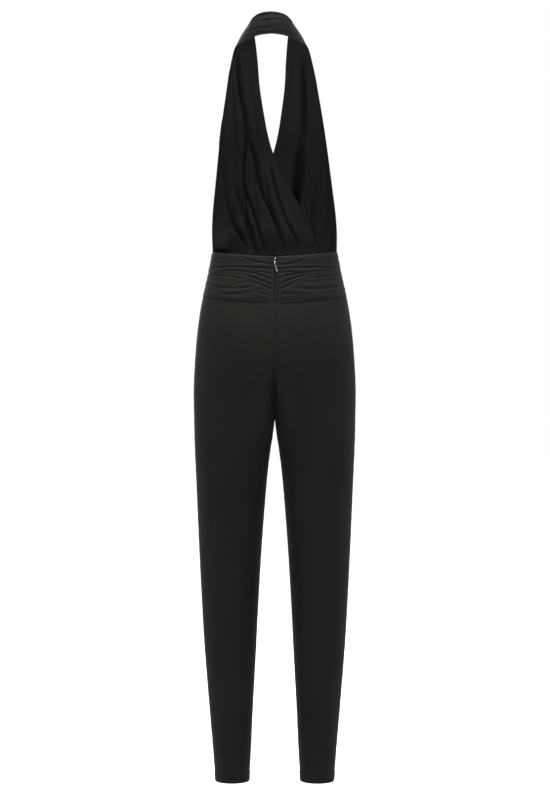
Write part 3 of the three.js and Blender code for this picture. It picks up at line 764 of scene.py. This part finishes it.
def yoke_front():
    """The front, in one piece: creases start in each side seam and fade before the middle."""
    half = spaced(SIDE_GAP, 1, 80, 0.003, 0.003)
    c = np.concatenate([-half, -half[-2::-1]])
    side = np.concatenate([-np.ones(len(half)), np.ones(len(half) - 1)])
    a = spaced(0, 1, 80, 0.006, 0.006)
    turn, a = np.meshgrid(c, a)
    side = np.broadcast_to(side, a.shape)
    grid = yoke_point(turn, a) * stack(side, 1 + 0 * a, 1 + 0 * a)
    x, z = grid[..., 0], grid[..., 2]
    to_top, to_seam = a * YOKE_DEPTH, (1 - a) * YOKE_DEPTH
    held = held_in(to_top, to_seam, HELD_HEIGHT)
    relief = creased(CREASES_FRONT, x, z + 1.5) + creased(CREASES_FRONT, -x, z)
    relief += 0.45 * waves(z * 1.5 + 0.05 * x, 4, 10, 36, 81)
    swell = (YOKE_SWELL + relief) * held * smooth(np.abs(turn) / 0.05)
    swell += seam_relief(np.abs(turn) * 210, z, 83)
    swell += rolled_top(to_top) - 0.3 * hump(to_seam, 0, 1.3)
    grid = grid + normals(grid) * swell[..., None]
    cloth("yoke_front_cloth", grid, YOKE_WALL + 0 * a)


both_sides("yoke_back", yoke_back)
yoke_front()

# %% [markdown]
# ## The wrap fronts
# Each front is one long piece of cloth from the centre back of the neck, over the shoulder and
# across the chest to the far side of the waist. It is lofted through cross sections: slanted
# ones on the strap, level ones on the chest. The cloth hangs from the neck and is drawn in at
# the waist, so long folds run down it. They could be sculpted or simulated, but a table of
# lines can be corrected one fold at a time. Each is a smooth line down the panel with a width, a
# depth, and a steeper flank on one side, because cloth falls over rather than standing up.

# %% Sections of a front
def front_sections(t):
    """Points of all sections at the places t across the panel, 0 at the armhole edge and 1 at
    the neckline edge. A strap section is a straight line bowed by 4 t (1 - t). A chest section
    is an arc of an ellipse from the armhole edge to where it has the neckline edge's X."""
    outer, neck, bow = STRAP[:, None, 0:3], STRAP[:, None, 3:6], STRAP[:, None, 6]
    strap = mix(outer, neck, t[None, :, None])
    flat = unit(strap[..., :2] + np.array([0, 60]))
    strap[..., :2] += flat * (bow * 4 * t * (1 - t))[..., None]
    z, edge, inner, side, front, lift = [CHEST[:, k:k + 1] for k in range(6)]
    angle = t * np.arccos(inner / edge)
    chest = stack(edge * np.cos(angle), side - front * np.sin(angle), z + lift * t)
    return np.concatenate([strap, chest])


def front_surface(s, t):
    """A smooth surface through the sections, counted by s from the nape. Sections on the other
    side of the neck are the mirror of these."""
    own = front_sections(t)
    flip = np.array([-1, 1, 1])
    every = np.concatenate([own[3:0:-1] * flip, own, 2 * own[-1:] - own[-2:-1]])
    i = np.minimum(np.floor(s).astype(int), len(own) - 2)
    f = (s - i)[:, None, None]
    before, a, b, after = [every[i + 3 + k] for k in (-1, 0, 1, 2)]
    leave, arrive = (b - before) / 2, (after - a) / 2
    return mix(a, b, smooth(f)) + f * (1 - f) ** 2 * leave + f * f * (f - 1) * arrive


# %% Folds of the fronts
# Each fold: its line as X at several Z, then its width, its depth, and how far it leans over
# sideways as a part of its depth
LEFT_FOLDS = [
    ([66.5, 66, 63, 57.5, 47, 37, 26, 7, -11, -17],
     [-30, -92, -124, -157, -206, -240, -304, -348, -394, -430], 4.6, 13.0, 0.2),
    ([57, 57.5, 63, 63, 57, 45, 28, 18],
     [-150, -214, -246, -300, -322, -352, -410, -434], 3.8, 10.5, -0.2),
    ([4, -6, -17, -27, -36, -46, -50],
     [-262, -310, -342, -370, -388, -411, -434], 3.6, 10.0, 0.2),
    ([100, 99.5, 99, 97, 90, 80, 66, 53],
     [-170, -240, -290, -324, -356, -384, -406, -426], 4.6, 15.0, 0.2),
    ([61, 59, 55, 49], [-318, -360, -396, -434], 3.4, 10.0, -0.2),
    ([83, 69, 57, 49, 45], [-304, -346, -372, -388, -412], 3.8, 9.0, -0.2),
    ([82, 80, 77, 75], [-70, -130, -180, -236], 4.0, 5.0, 0.2),
    ([42, 38, 30, 22], [-60, -110, -170, -226], 4.5, 4.0, 0.2),
    ([16, 10, 0, -8], [-290, -330, -372, -404], 3.2, 6.5, -0.2),
    ([30, 36, 38, 34], [-250, -290, -330, -362], 3.0, 5.0, 0.2),
    ([56, 50, 44, 36], [-384, -404, -420, -436], 6.5, 14.0, 0.1),
    ([72, 76, 74], [-250, -290, -340], 7.0, -4.0, 0.0),
]
RIGHT_FOLDS = [
    ([60, 62, 57, 49, 41, 30, 16], [-56, -158, -216, -242, -326, -372, -430], 4.2, 11.0, -0.15),
    ([53, 51.5, 47, 41.5, 36], [-206, -244, -296, -332, -356], 7.5, 11.0, 0.0),
    ([51, 49.5, 46.5, 41.5, 36], [-250, -268, -296, -332, -356], 6.4, 20.0, 0.0),
    ([97, 98, 98, 97], [-252, -300, -350, -420], 4.0, 7.0, 0.2),
    ([0, -7, -17, -28, -40, -50], [-283, -312, -342, -372, -400, -430], 5.0, 8.0, 0.3),
    ([36, 24, 12, -4, -17], [-330, -352, -378, -408, -430], 4.8, 7.0, 0.2),
    ([72, 73, 72, 70], [-80, -140, -190, -250], 4.6, 3.0, 0.2),
    ([40, 34, 26, 18], [-60, -110, -165, -220], 4.5, 4.5, 0.2),
    ([70, 67, 62, 56], [-236, -280, -330, -380], 9.0, -6.0, 0.0),
    ([80, 78, 74, 70], [-300, -340, -390, -430], 3.8, 7.0, -0.2),
]
DEEPEST = 27.0


def fold_depth(folds, x, z):
    """One minus the product of what each fold leaves. A fold takes its share, which is its depth
    over the deepest, times a bell across its line with a fine crease along its bottom. The lean
    adds up in the same way."""
    left, lean = np.ones(x.shape), np.zeros(x.shape)
    for line_x, line_z, width, depth, sideways in folds:
        off = (x - curve(line_z, line_x, z)) / width
        reach = smooth((line_z[0] - z + 34) / 60) * smooth((z - line_z[-1] + 26) / 34)
        profile = 0.76 * np.exp(-off * off) + 0.24 * hump(off, 0, 0.24)
        taken = depth / DEEPEST * reach * profile
        left = left * (1 - taken)
        lean = lean + taken * DEEPEST * sideways
    return (1 - left) * DEEPEST, lean


# %% The two fronts
# Sections are counted from the nape: the folds start at the shoulder's and end at the last, at
# the waist, where this share of their depth is left
SHOULDER, LAST = 5, 15
DRAWN_IN = 0.35
SWELL, MOST_OUTWARDS = 11.5, 1.4
# The left front bags out above the waist: how far, at which X, how wide, from which height down
BLOUSE, BLOUSE_X, BLOUSE_WIDTH = 10.0, 108, 13
BLOUSE_Z, BLOUSE_GROWS = -382, 44
STRAP_WIDTH, EDGE_WIDTH = 43, 110
# The turned edge: how much thicker it is, how wide, and its line of stitching
TURNED, TURNED_WIDTH, TURNED_LINE = 0.55, 6, 6.5
# The fronts cross the centre plane, so their gap there lies far outside them
NO_LIMIT = -400


def wrap_front(side):
    """A front on the wearer's left, mirrored later for the right. The left one swells inwards
    between its folds. The right one lies a layer further out, and its folds push outwards.
    The strap has fine gathers that are strongest at its seam, and both long edges are turned."""
    folds = LEFT_FOLDS if side > 0 else RIGHT_FOLDS
    start = (side * STRAP_SEAM_X + TOUCH / 2) / STRAP[1, 0]
    s = start + spaced(0, LAST - start, 250, 0.02, 0.012)
    t = spaced(0, 1, 104, 0.006, 0.006)[::-1]
    grid = front_surface(s, t)
    out = unit(np.cross(np.gradient(grid, s, axis=0), -np.gradient(grid, t, axis=1)))
    s, t = s[:, None], t[None]
    x, z = grid[..., 0], grid[..., 2].copy()
    depth, lean = fold_depth(folds, x, z)
    sideways = unit(np.gradient(grid, axis=1))
    free = smooth((s - SHOULDER + 1) / 3)
    at_waist = mix(1, DRAWN_IN, smooth((s - LAST + 1.2) / 1.2))
    loose = smooth(t / 0.12) * smooth((1 - t) / 0.14) * free * at_waist
    if side > 0:
        swell = SWELL * smooth(t / 0.3) * smooth((1 - t) / 0.2) * free * at_waist
        push = np.minimum(depth * loose - swell, MOST_OUTWARDS)
        above_waist = smooth((BLOUSE_Z - z) / BLOUSE_GROWS) * smooth((z - WAIST_Z) / 8)
        push = push - BLOUSE * hump(x, BLOUSE_X, BLOUSE_WIDTH) * above_waist * smooth(t / 0.06)
    else:
        push = LAYER * smooth(t / LAYER_GROWS) * free + depth * loose
    strap = 1 - smooth((s - 1.2) / 2.6)
    from_seam = np.abs(s - start)
    gathers = 0.5 * (0.5 + 1.1 * np.exp(-from_seam / 0.35)) * strap * smooth(from_seam / 0.06)
    push = push + gathers * waves(STRAP_WIDTH * (1 - t) + 3 * s, 4, 4, 12, 90 - side)
    push = push + 0.4 * waves(z * 0.5 + x, 5, 14, 70, 94 - side) * loose
    edges = np.minimum(t, 1 - t) * EDGE_WIDTH
    push = push - 0.35 * hump(edges, TURNED_LINE, 0.9) * smooth((s - 0.4) / 0.8)
    push = push - 0.9 * hump(from_seam * STRAP[1, 0], 0, 1.3)
    grid = grid + out * push[..., None] + sideways * (lean * loose)[..., None]
    grid[..., 2] = mix(grid[..., 2], z, smooth(s - LAST + 1))
    shift = NECK_SHIFT * np.clip((grid[..., 2] - WAIST_Z) / -WAIST_Z, 0, 1)
    grid[..., 0] += shift * side
    thick = FRONT_WALL + TURNED * (1 - smooth((edges - TURNED_WIDTH) / 0.8))
    return grid, thick, NO_LIMIT, ("x", "z")


both_sides("front", wrap_front)

# %% [markdown]
# ## The zip
# A concealed zip hides behind the seam: only its slider and tab show, and the tapes inside. The
# tapes are strips that follow the centre back. The chain is a coil of small bars. They are one
# joined mesh, copied as an array, because there are over a hundred of them and an object for
# each would be slow.

# %% Zip tapes and chain
SLIDER_Z, TAB_LEAN = -463, 20
TAPE_INNER, TAPE_OUTER, TAPE_WALL = 0.8, 11, 0.7
BEHIND_CLOTH = 1.5
COIL_PITCH, COIL_SHIFT = 1.5, 0.25
# Half the length, half the depth and half the height of one bar of the coil
COIL_BAR = (1.55, 0.42, 0.5)


def centre_back(x, z):
    """The inside of the cloth at a distance x from the centre back."""
    half, mid, back, front = ring(SEAT, z)
    proud = YOKE_PROUD * (1 - smooth((waist_edge(1.0) - z) / (waist_edge(1.0) - yoke_seam(1.0))))
    return stack(x + 0 * z, mid + back * np.sqrt(1 - (x / half) ** 2) + proud, z)


def zip_tapes():
    """Two strips on the inside of the cloth: the distance behind it is 1.5 plus 0.12 times the
    sine of the height over 5.5, which gives the slight waves of a sewn tape."""
    for side, word in ((1, "left"), (-1, "right")):
        edges = (TAPE_OUTER, TAPE_INNER) if side > 0 else (-TAPE_INNER, -TAPE_OUTER)
        x, z = np.meshgrid(np.linspace(*edges, 12), np.linspace(ZIP_TOP_Z, ZIP_END_Z, 90))
        grid = centre_back(x, z)
        grid[..., 1] -= BEHIND_CLOTH + 0.12 * np.sin(2 * np.pi * z / 5.5)
        cloth(f"zip_tape_{word}", grid, TAPE_WALL, materials=[tape_cloth, tape_cloth])


def joined(name, unit_points, unit_faces, places, frames, material):
    """Many copies of one small mesh in one object: point = place + sum of unit times frame."""
    points = places[:, None, :] + np.einsum("pk,nkd->npd", unit_points, frames)
    count, size = len(places), len(unit_points)
    faces = np.arange(count)[:, None, None] * size + unit_faces[None]
    faces = faces.reshape(-1, unit_faces.shape[1])
    add_mesh(name, points.reshape(-1, 3), faces.tolist(), [material])


def rod(sides=8, rings=5):
    """A small capsule along its first axis from -1 to 1, of radius 1 in the other two. The ring
    radii follow a rounded end: (1 - x to the fourth) to the quarter."""
    along = np.sin(np.linspace(-np.pi / 2, np.pi / 2, rings + 2))[1:-1]
    round_end = (1 - along ** 4) ** 0.25
    turn = np.linspace(0, 2 * np.pi, sides, endpoint=False)
    round_end = round_end[:, None]
    rings_of_points = stack(along[:, None], round_end * np.cos(turn), round_end * np.sin(turn))
    points = np.concatenate([rings_of_points.reshape(-1, 3), [[-1, 0, 0], [1, 0, 0]]])
    body = grid_faces(rings, sides, around=True)
    n = np.arange(sides)
    ahead = (n + 1) % sides
    first, last, end_ring = rings * sides, rings * sides + 1, (rings - 1) * sides
    start = np.stack([np.full(sides, first), n, ahead], axis=-1)
    end = np.stack([np.full(sides, last), end_ring + ahead, end_ring + n], axis=-1)
    return points, np.concatenate([body[:, [0, 1, 2]], body[:, [0, 2, 3]], start, end])


def along_path(path, run, at):
    """Points or directions at the distances at, straight between those at the distances run."""
    return np.stack([np.interp(at, run, path[:, k]) for k in range(3)], axis=-1)


def stitches(name, path, pitch, length, radius, material):
    """Stitches along a path on the back of the garment: one capsule each pitch, its middle on
    the path, its length along it. Out of the cloth is +Y."""
    steps = np.linalg.norm(np.diff(path, axis=0), axis=1)
    run = np.concatenate([[0], np.cumsum(steps)])
    at = np.arange(pitch / 2, run[-1], pitch)
    places = along_path(path, run, at)
    along = unit(along_path(path, run, at + 0.4) - along_path(path, run, at - 0.4))
    out = np.array([0.0, 1.0, 0.0]) + 0 * along
    out = unit(out - along * (out * along).sum(-1, keepdims=True))
    across = np.cross(along, out)
    frames = np.stack([along * length / 2, across * radius, out * radius], axis=1)
    points, faces = rod()
    joined(name, points, faces, places, frames, material)
    print(f"{name}: {len(at)} stitches")


def zip_chain():
    """The closed coil: a short cross bar every 1.5, alternately from the left and the right."""
    z = np.arange(ZIP_TOP_Z - 2, ZIP_END_Z + 4, -COIL_PITCH)
    places = centre_back(0 * z, z)
    places[:, 1] -= BEHIND_CLOTH
    places[:, 0] += np.where(np.arange(len(z)) % 2, COIL_SHIFT, -COIL_SHIFT)
    frames = np.broadcast_to(np.diag(COIL_BAR), (len(z), 3, 3))
    points, faces = rod()
    joined("zip_chain", points, faces, places, frames, tape_cloth)
    print("zip_chain:", len(z), "bars")


zip_tapes()
zip_chain()

# %% [markdown]
# ## Slider and tab
# The slider is a small cast shell with a bridge, and the tab hangs from the bridge by its eye.
# Boxes with a Bevel modifier would do from far off, but their corners look cut. So both are made
# from rounded outlines: a closed profile is carried round each outline, and every edge has a
# real radius that catches the light. The tab takes its place from the frame's joint, because it
# turns on it.

# %% Metal shapes
def signed_power(v, power):
    """The size of v to a power, with v's own sign."""
    return np.sign(v) * np.abs(v) ** power


def outline(width_top, width_bottom, top, bottom, count, power):
    """A closed outline in X and Z: a superellipse of the given power whose half width changes
    evenly from the top to the bottom."""
    turn = np.linspace(0, 2 * np.pi, count, endpoint=False)
    x = signed_power(np.cos(turn), 2 / power)
    z = signed_power(np.sin(turn), 2 / power)
    half = mix(width_bottom, width_top, (z + 1) / 2) / 2
    return x * half, mix(bottom, top, (z + 1) / 2)


def ring_plate(outer, inner, thick, radius):
    """A plate between two outlines. The section carried round them is a rectangle with round
    corners: outer edge, top face, inner edge and bottom face, as one closed loop. Each corner
    is a quarter circle round its own middle, a radius in from both faces."""
    corner = np.linspace(0, np.pi / 2, 5)
    loop = []
    for to_edge, to_face, turn in ((1, 1, corner), (-1, 1, corner[::-1]),
                                   (-1, -1, corner), (1, -1, corner[::-1])):
        sides = [np.full(5, to_edge), np.full(5, to_face)]
        loop.append(np.stack([np.cos(turn), to_face * np.sin(turn), *sides], axis=-1))
    inwards, off_face, to_edge, to_face = np.concatenate(loop).T[:, :, None]
    (ox, oz), (ix, iz) = outer, inner
    wide = np.hypot(ox - ix, oz - iz)
    inset = (1 - inwards) * radius / wide[None]
    share = np.where(to_edge > 0, inset, 1 - inset)
    y = to_face * (thick / 2 - radius) + off_face * radius + 0 * wide
    points = stack(mix(ox, ix, share), y, mix(oz, iz, share))
    return np.concatenate([points, points[:1]])


def weld(name, grids, material):
    """Closed grids joined in one mesh, with their doubles merged and faces turned outwards."""
    points, faces, first = [], [], 0
    for grid in grids:
        rows, cols = grid.shape[:2]
        points.append(grid.reshape(-1, 3))
        faces.extend(grid_faces(rows, cols, first, around=True).tolist())
        first += rows * cols
    piece = add_mesh(name, np.concatenate(points), faces, [material])
    bpy.context.view_layer.objects.active = piece
    for other in bpy.context.selected_objects:
        other.select_set(False)
    piece.select_set(True)
    bpy.ops.object.mode_set(mode="EDIT")
    bpy.ops.mesh.select_all(action="SELECT")
    bpy.ops.mesh.remove_doubles(threshold=1e-7)
    bpy.ops.mesh.normals_make_consistent(inside=False)
    bpy.ops.object.mode_set(mode="OBJECT")
    print(f"{name}: {len(piece.data.polygons)} faces")


def disc(outer, y_low, y_high, radius):
    """A solid plate with one outline and round edges: rings that shrink to a point at each face."""
    x, z = outer
    mid_x, mid_z = x.mean(), z.mean()
    turn = np.linspace(-np.pi / 2, np.pi / 2, 9)
    reach = np.abs(x).max()
    scale = 1 - (1 - np.cos(turn)) * radius / reach
    flat = (y_high - y_low) / 2 - radius
    y = (y_low + y_high) / 2 + np.where(turn > 0, 1, -1) * flat + np.sin(turn) * radius
    scale = np.concatenate([[1e-4], scale, [1e-4]])[:, None]
    y = np.concatenate([[y_low], y, [y_high]])[:, None]
    return stack(mid_x + (x - mid_x) * scale, y, mid_z + (z - mid_z) * scale)


def bridge(width, height, base, top, thick, count=24):
    """The slider's arch: a flat band bent over half an oval, from one end of the slider's face
    to the other. Its section is an oval of the band's width and thickness."""
    turn = np.linspace(0, np.pi, 21)
    power = 0.55
    z = height / 2 * signed_power(np.cos(turn), power)
    y = base + (top - base) * np.sin(turn) ** power
    line = np.stack([0 * z, y, z], axis=-1)
    along = unit(np.gradient(line, axis=0))
    across = np.array([1.0, 0, 0]) + 0 * along
    out = np.cross(along, across)
    around = np.linspace(0, 2 * np.pi, count, endpoint=False)
    band = (signed_power(np.cos(around), 0.5) * width / 2)[None, :, None]
    rise = (signed_power(np.sin(around), 0.5) * thick / 2)[None, :, None]
    grid = line[:, None] + (across[:, None] * band + out[:, None] * rise)
    return np.concatenate([line[:1, None] + 0 * grid[:1], grid, line[-1:, None] + 0 * grid[-1:]])


def placed(grid, turn_x, lean, place):
    """Turns a grid by lean about Y and then by turn_x about X, and moves it to its place."""
    cos, sin = np.cos(lean), np.sin(lean)
    about_y = np.array([[cos, 0, sin], [0, 1, 0], [-sin, 0, cos]])
    cos, sin = np.cos(turn_x), np.sin(turn_x)
    about_x = np.array([[1, 0, 0], [0, cos, -sin], [0, sin, cos]])
    return grid @ (about_x @ about_y).T + place


# %% Slider and tab
joint = next(j for j in frame["joints"] if j["name"] == "pull_swing")
hinge = np.array(joint["pos_m"]) / MM
here = centre_back(0.0, np.float64(SLIDER_Z))
under = centre_back(0.0, np.float64(SLIDER_Z - 10))
slope = np.arctan2(under[1] - here[1], here[2] - under[2])
slider_place = here + np.array([0, 1.6, 0])

slider_body = disc(outline(4.4, 3.2, 5.4, -5.2, 40, 2.8), 0.35, 1.55, 0.5)
slider_neck = disc(outline(1.0, 1.0, 3.0, -3.0, 24, 3.0), -1.4, 0.5, 0.2)
slider_arch = bridge(0.8, 5.4, 1.5, 3.75, 0.8) + np.array([0, 0, 0.4])
slider_parts = [placed(g, slope, 0, slider_place) for g in (slider_body, slider_neck)]
weld("zip_slider_shell", slider_parts, lacquer)
weld("zip_bridge", [placed(slider_arch, slope, 0, slider_place)], nickel)
stop_shape = disc(outline(1.5, 1.5, -451.8, -455.0, 24, 3.0), -1.0, 0.6, 0.35)
stop_y = centre_back(0.0, np.float64(ZIP_TOP_Z))[1] + 0.9
weld("zip_top_stop", [stop_shape + np.array([0, stop_y, 0])], nickel)


def slimmed(points):
    """The tab's eye is wide and its blade slim: the width falls by 0.36 below the eye, and the
    blade stands 0.5 to the left of the eye's middle."""
    x, z = points
    return x * (1 - 0.36 * smooth((-z - 3.5) / 5)) + 0.5 * smooth((-z - 4.5) / 5), z


tab_outer = slimmed(outline(3.1, 3.0, 0.45, -16.6, 56, 2.8))
tab_eye = slimmed(outline(2.3, 2.3, -0.5, -5.4, 56, 2.8))
tab_plate = ring_plate(tab_outer, tab_eye, 0.75, 0.28)
weld("zip_tab", [placed(tab_plate, slope, np.radians(TAB_LEAN), hinge)], nickel)
print("tab hangs from", np.round(hinge, 2), "and leans", TAB_LEAN, "degrees")

# %% [markdown]
# ## Sewing
# A row of stitches holds the zip's right-hand tape, and two short tacks close its lower end.
# They could be a picture on the cloth, but then they wouldn't stand out in a side light. Each
# stitch is a small capsule on a line that follows the centre back. The other seams and turned
# edges show only as the valleys that the cloth's own formulas give them.

# %% Sewing rows
# The thread's dark colour is partly its own black and partly painted shade, for the groove of this
# row of stitches and the dimples of the tacks below.
zip_line = centre_back(-STITCH_X, np.linspace(-470, STITCH_END_Z, 60))
zip_line[:, 1] += YOKE_WALL - 0.15
stitches("zip_topstitch", zip_line, 3.0, 2.6, 0.36, thread_painted_shade)

for number, (side, (first, last, height)) in enumerate(TACKS.items()):
    tack_line = centre_back(side * np.linspace(first, last, 12), np.full(12, height))
    tack_line[:, 1] += YOKE_WALL - 0.7
    stitches(f"zip_tack_{number + 1}", tack_line, 1.0, 1.3, 0.75, thread_painted_shade)

# %% [markdown]
# ## Riding and replacing
# Every piece moves with a body of the frame, and the cloth, the slider and the tab stand for
# their plain solids. The tab alone rides the turning body.

# %% Bodies and replaced nodes
GARMENT, PULL = "garment", "pull_tab"
# A cloth piece stands for the node of its own name. The tapes and the chain share one node
stands_for = {name: name.removesuffix("_cloth") for name in pieces if name.endswith("_cloth")}
stands_for["zip_tape_left"] = "zip_tape"
stands_for["zip_slider_shell"] = "zip_slider"
stands_for["zip_tab"] = "zip_pull"
SLOTS = {
    "zip_slider_shell": "zip_lacquer",
    "zip_bridge": "zip_metal",
    "zip_top_stop": "zip_metal",
    "zip_tab": "zip_metal",
}
for name, piece in pieces.items():
    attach(piece, PULL if name == "zip_tab" else GARMENT)
    if name in stands_for:
        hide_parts(stands_for[name])
    SLOTS.get(name, "zip_tape" if name.startswith("zip_") else "crepe")

# %% Count of the pieces
print(len(pieces), "pieces ride,", len(stands_for), "of them for a node of the frame")

# %% [markdown]
# ## Stage, light and camera
# The photograph was taken in a white room with soft light from above and from both sides. A
# white world gives the even part of it. Five large soft lights give the rest: a strong one from
# above brightens the upward edges, a weak one on each side the flanks, one the front and one the
# back. The inside of the fronts stays darker. One hard lamp would be simpler, but black cloth
# would then lose its form in its own shadow.

# %% Stage and light
def add_light(name, place, target, size, power):
    """A square area light at a place in metres, turned towards a target."""
    lamp = bpy.data.lights.new(name, "AREA")
    lamp.shape, lamp.size, lamp.energy = "SQUARE", size, power
    holder = bpy.data.objects.new(name, lamp)
    holder.location = place
    holder.rotation_mode = "QUATERNION"
    direction = Vector(target) - Vector(place)
    holder.rotation_quaternion = direction.to_track_quat("-Z", "Y")
    holder.visible_camera = False
    bpy.context.scene.collection.objects.link(holder)


def add_floor():
    """A large pale floor a little below the hems, where the wearer's soles would stand. Its own
    glow grows with the distance, so that it meets the white world with no edge."""
    reach, height = 30.0, (HEM_Z - 95) * MM
    mesh = bpy.data.meshes.new("floor")
    corners = [(x, y, height) for x, y in ((-1, -1), (1, -1), (1, 1), (-1, 1))]
    corners = [(x * reach, y * reach, z) for x, y, z in corners]
    mesh.from_pydata(corners, [], [(0, 1, 2, 3)])
    material, tree, shader, where = new_material("floor_white", 0.9, 0.1)
    shader.inputs["Base Color"].default_value = (0.5, 0.5, 0.5, 1)
    shader.inputs["Emission Color"].default_value = (1, 1, 1, 1)
    length = add_node(tree, "ShaderNodeVectorMath")
    length.operation = "LENGTH"
    tree.links.new(where, length.inputs[0])
    glow = add_node(tree, "ShaderNodeMapRange", [("Value", length.outputs["Value"])],
                    From_Min=1.8, From_Max=4.0, To_Min=0.3, To_Max=1.0)
    tree.links.new(glow.outputs["Result"], shader.inputs["Emission Strength"])
    mesh.materials.append(material)
    floor = bpy.data.objects.new("floor", mesh)
    bpy.context.scene.collection.objects.link(floor)


scene = bpy.context.scene
scene.view_settings.view_transform = "Standard"
world = bpy.data.worlds.new("white_room")
world.use_nodes = True
sky = world.node_tree
direction = sky.nodes.new("ShaderNodeTexCoord").outputs["Generated"]
parts = add_node(sky, "ShaderNodeSeparateXYZ", [("Vector", direction)])
height = add_node(sky, "ShaderNodeMath")
height.operation = "ABSOLUTE"
sky.links.new(parts.outputs["Z"], height.inputs[0])
strength = add_node(sky, "ShaderNodeMapRange", [("Value", height.outputs[0])],
                    From_Min=0.2, From_Max=0.4, To_Min=1.0, To_Max=0.25)
sky.nodes["Background"].inputs["Color"].default_value = (1, 1, 1, 1)
sky.links.new(strength.outputs["Result"], sky.nodes["Background"].inputs["Strength"])
scene.world = world
add_floor()
middle = (0, -0.05, -0.7)
# Each light: its place, what it is turned towards, its side in metres, its power in watts
add_light("top", (0.0, 0.1, 2.6), (0, 0.0, -0.45), 1.3, 392)
add_light("left", (2.6, 2.0, 0.6), middle, 1.4, 30)
add_light("right", (-2.6, 2.0, 0.6), middle, 1.4, 22)
add_light("front", (0.8, -3.2, 1.2), middle, 1.8, 110)
add_light("fill", (-0.6, 4.7, -0.2), (0, -0.1, -0.25), 1.0, 17)

# %% [markdown]
# ## Camera
# The photograph looks level at the back from about five metres. Each of its pixels is 1.92 mm in
# the plane of the centre back, and the lens follows from that and the distance. A flat view with
# no perspective would need no distance, but the edges that lie further off would come out large.

# %% Camera
CAMERA_DISTANCE, CAMERA_Z = 5.0, -0.72
PHOTO_ROWS, PIXEL = 795, 1.92
FRAME_HEIGHT = PHOTO_ROWS * PIXEL * MM
SENSOR = 36.0
camera = bpy.data.objects.new("camera", bpy.data.cameras.new("camera"))
camera.data.sensor_width = SENSOR
camera.data.lens = SENSOR * CAMERA_DISTANCE / FRAME_HEIGHT
camera.location = (-0.0005, CAMERA_DISTANCE, CAMERA_Z)
camera.rotation_euler = (np.pi / 2, 0, np.pi)
scene.collection.objects.link(camera)
scene.camera = camera
print("camera", CAMERA_DISTANCE, "m behind, lens", round(camera.data.lens, 1))
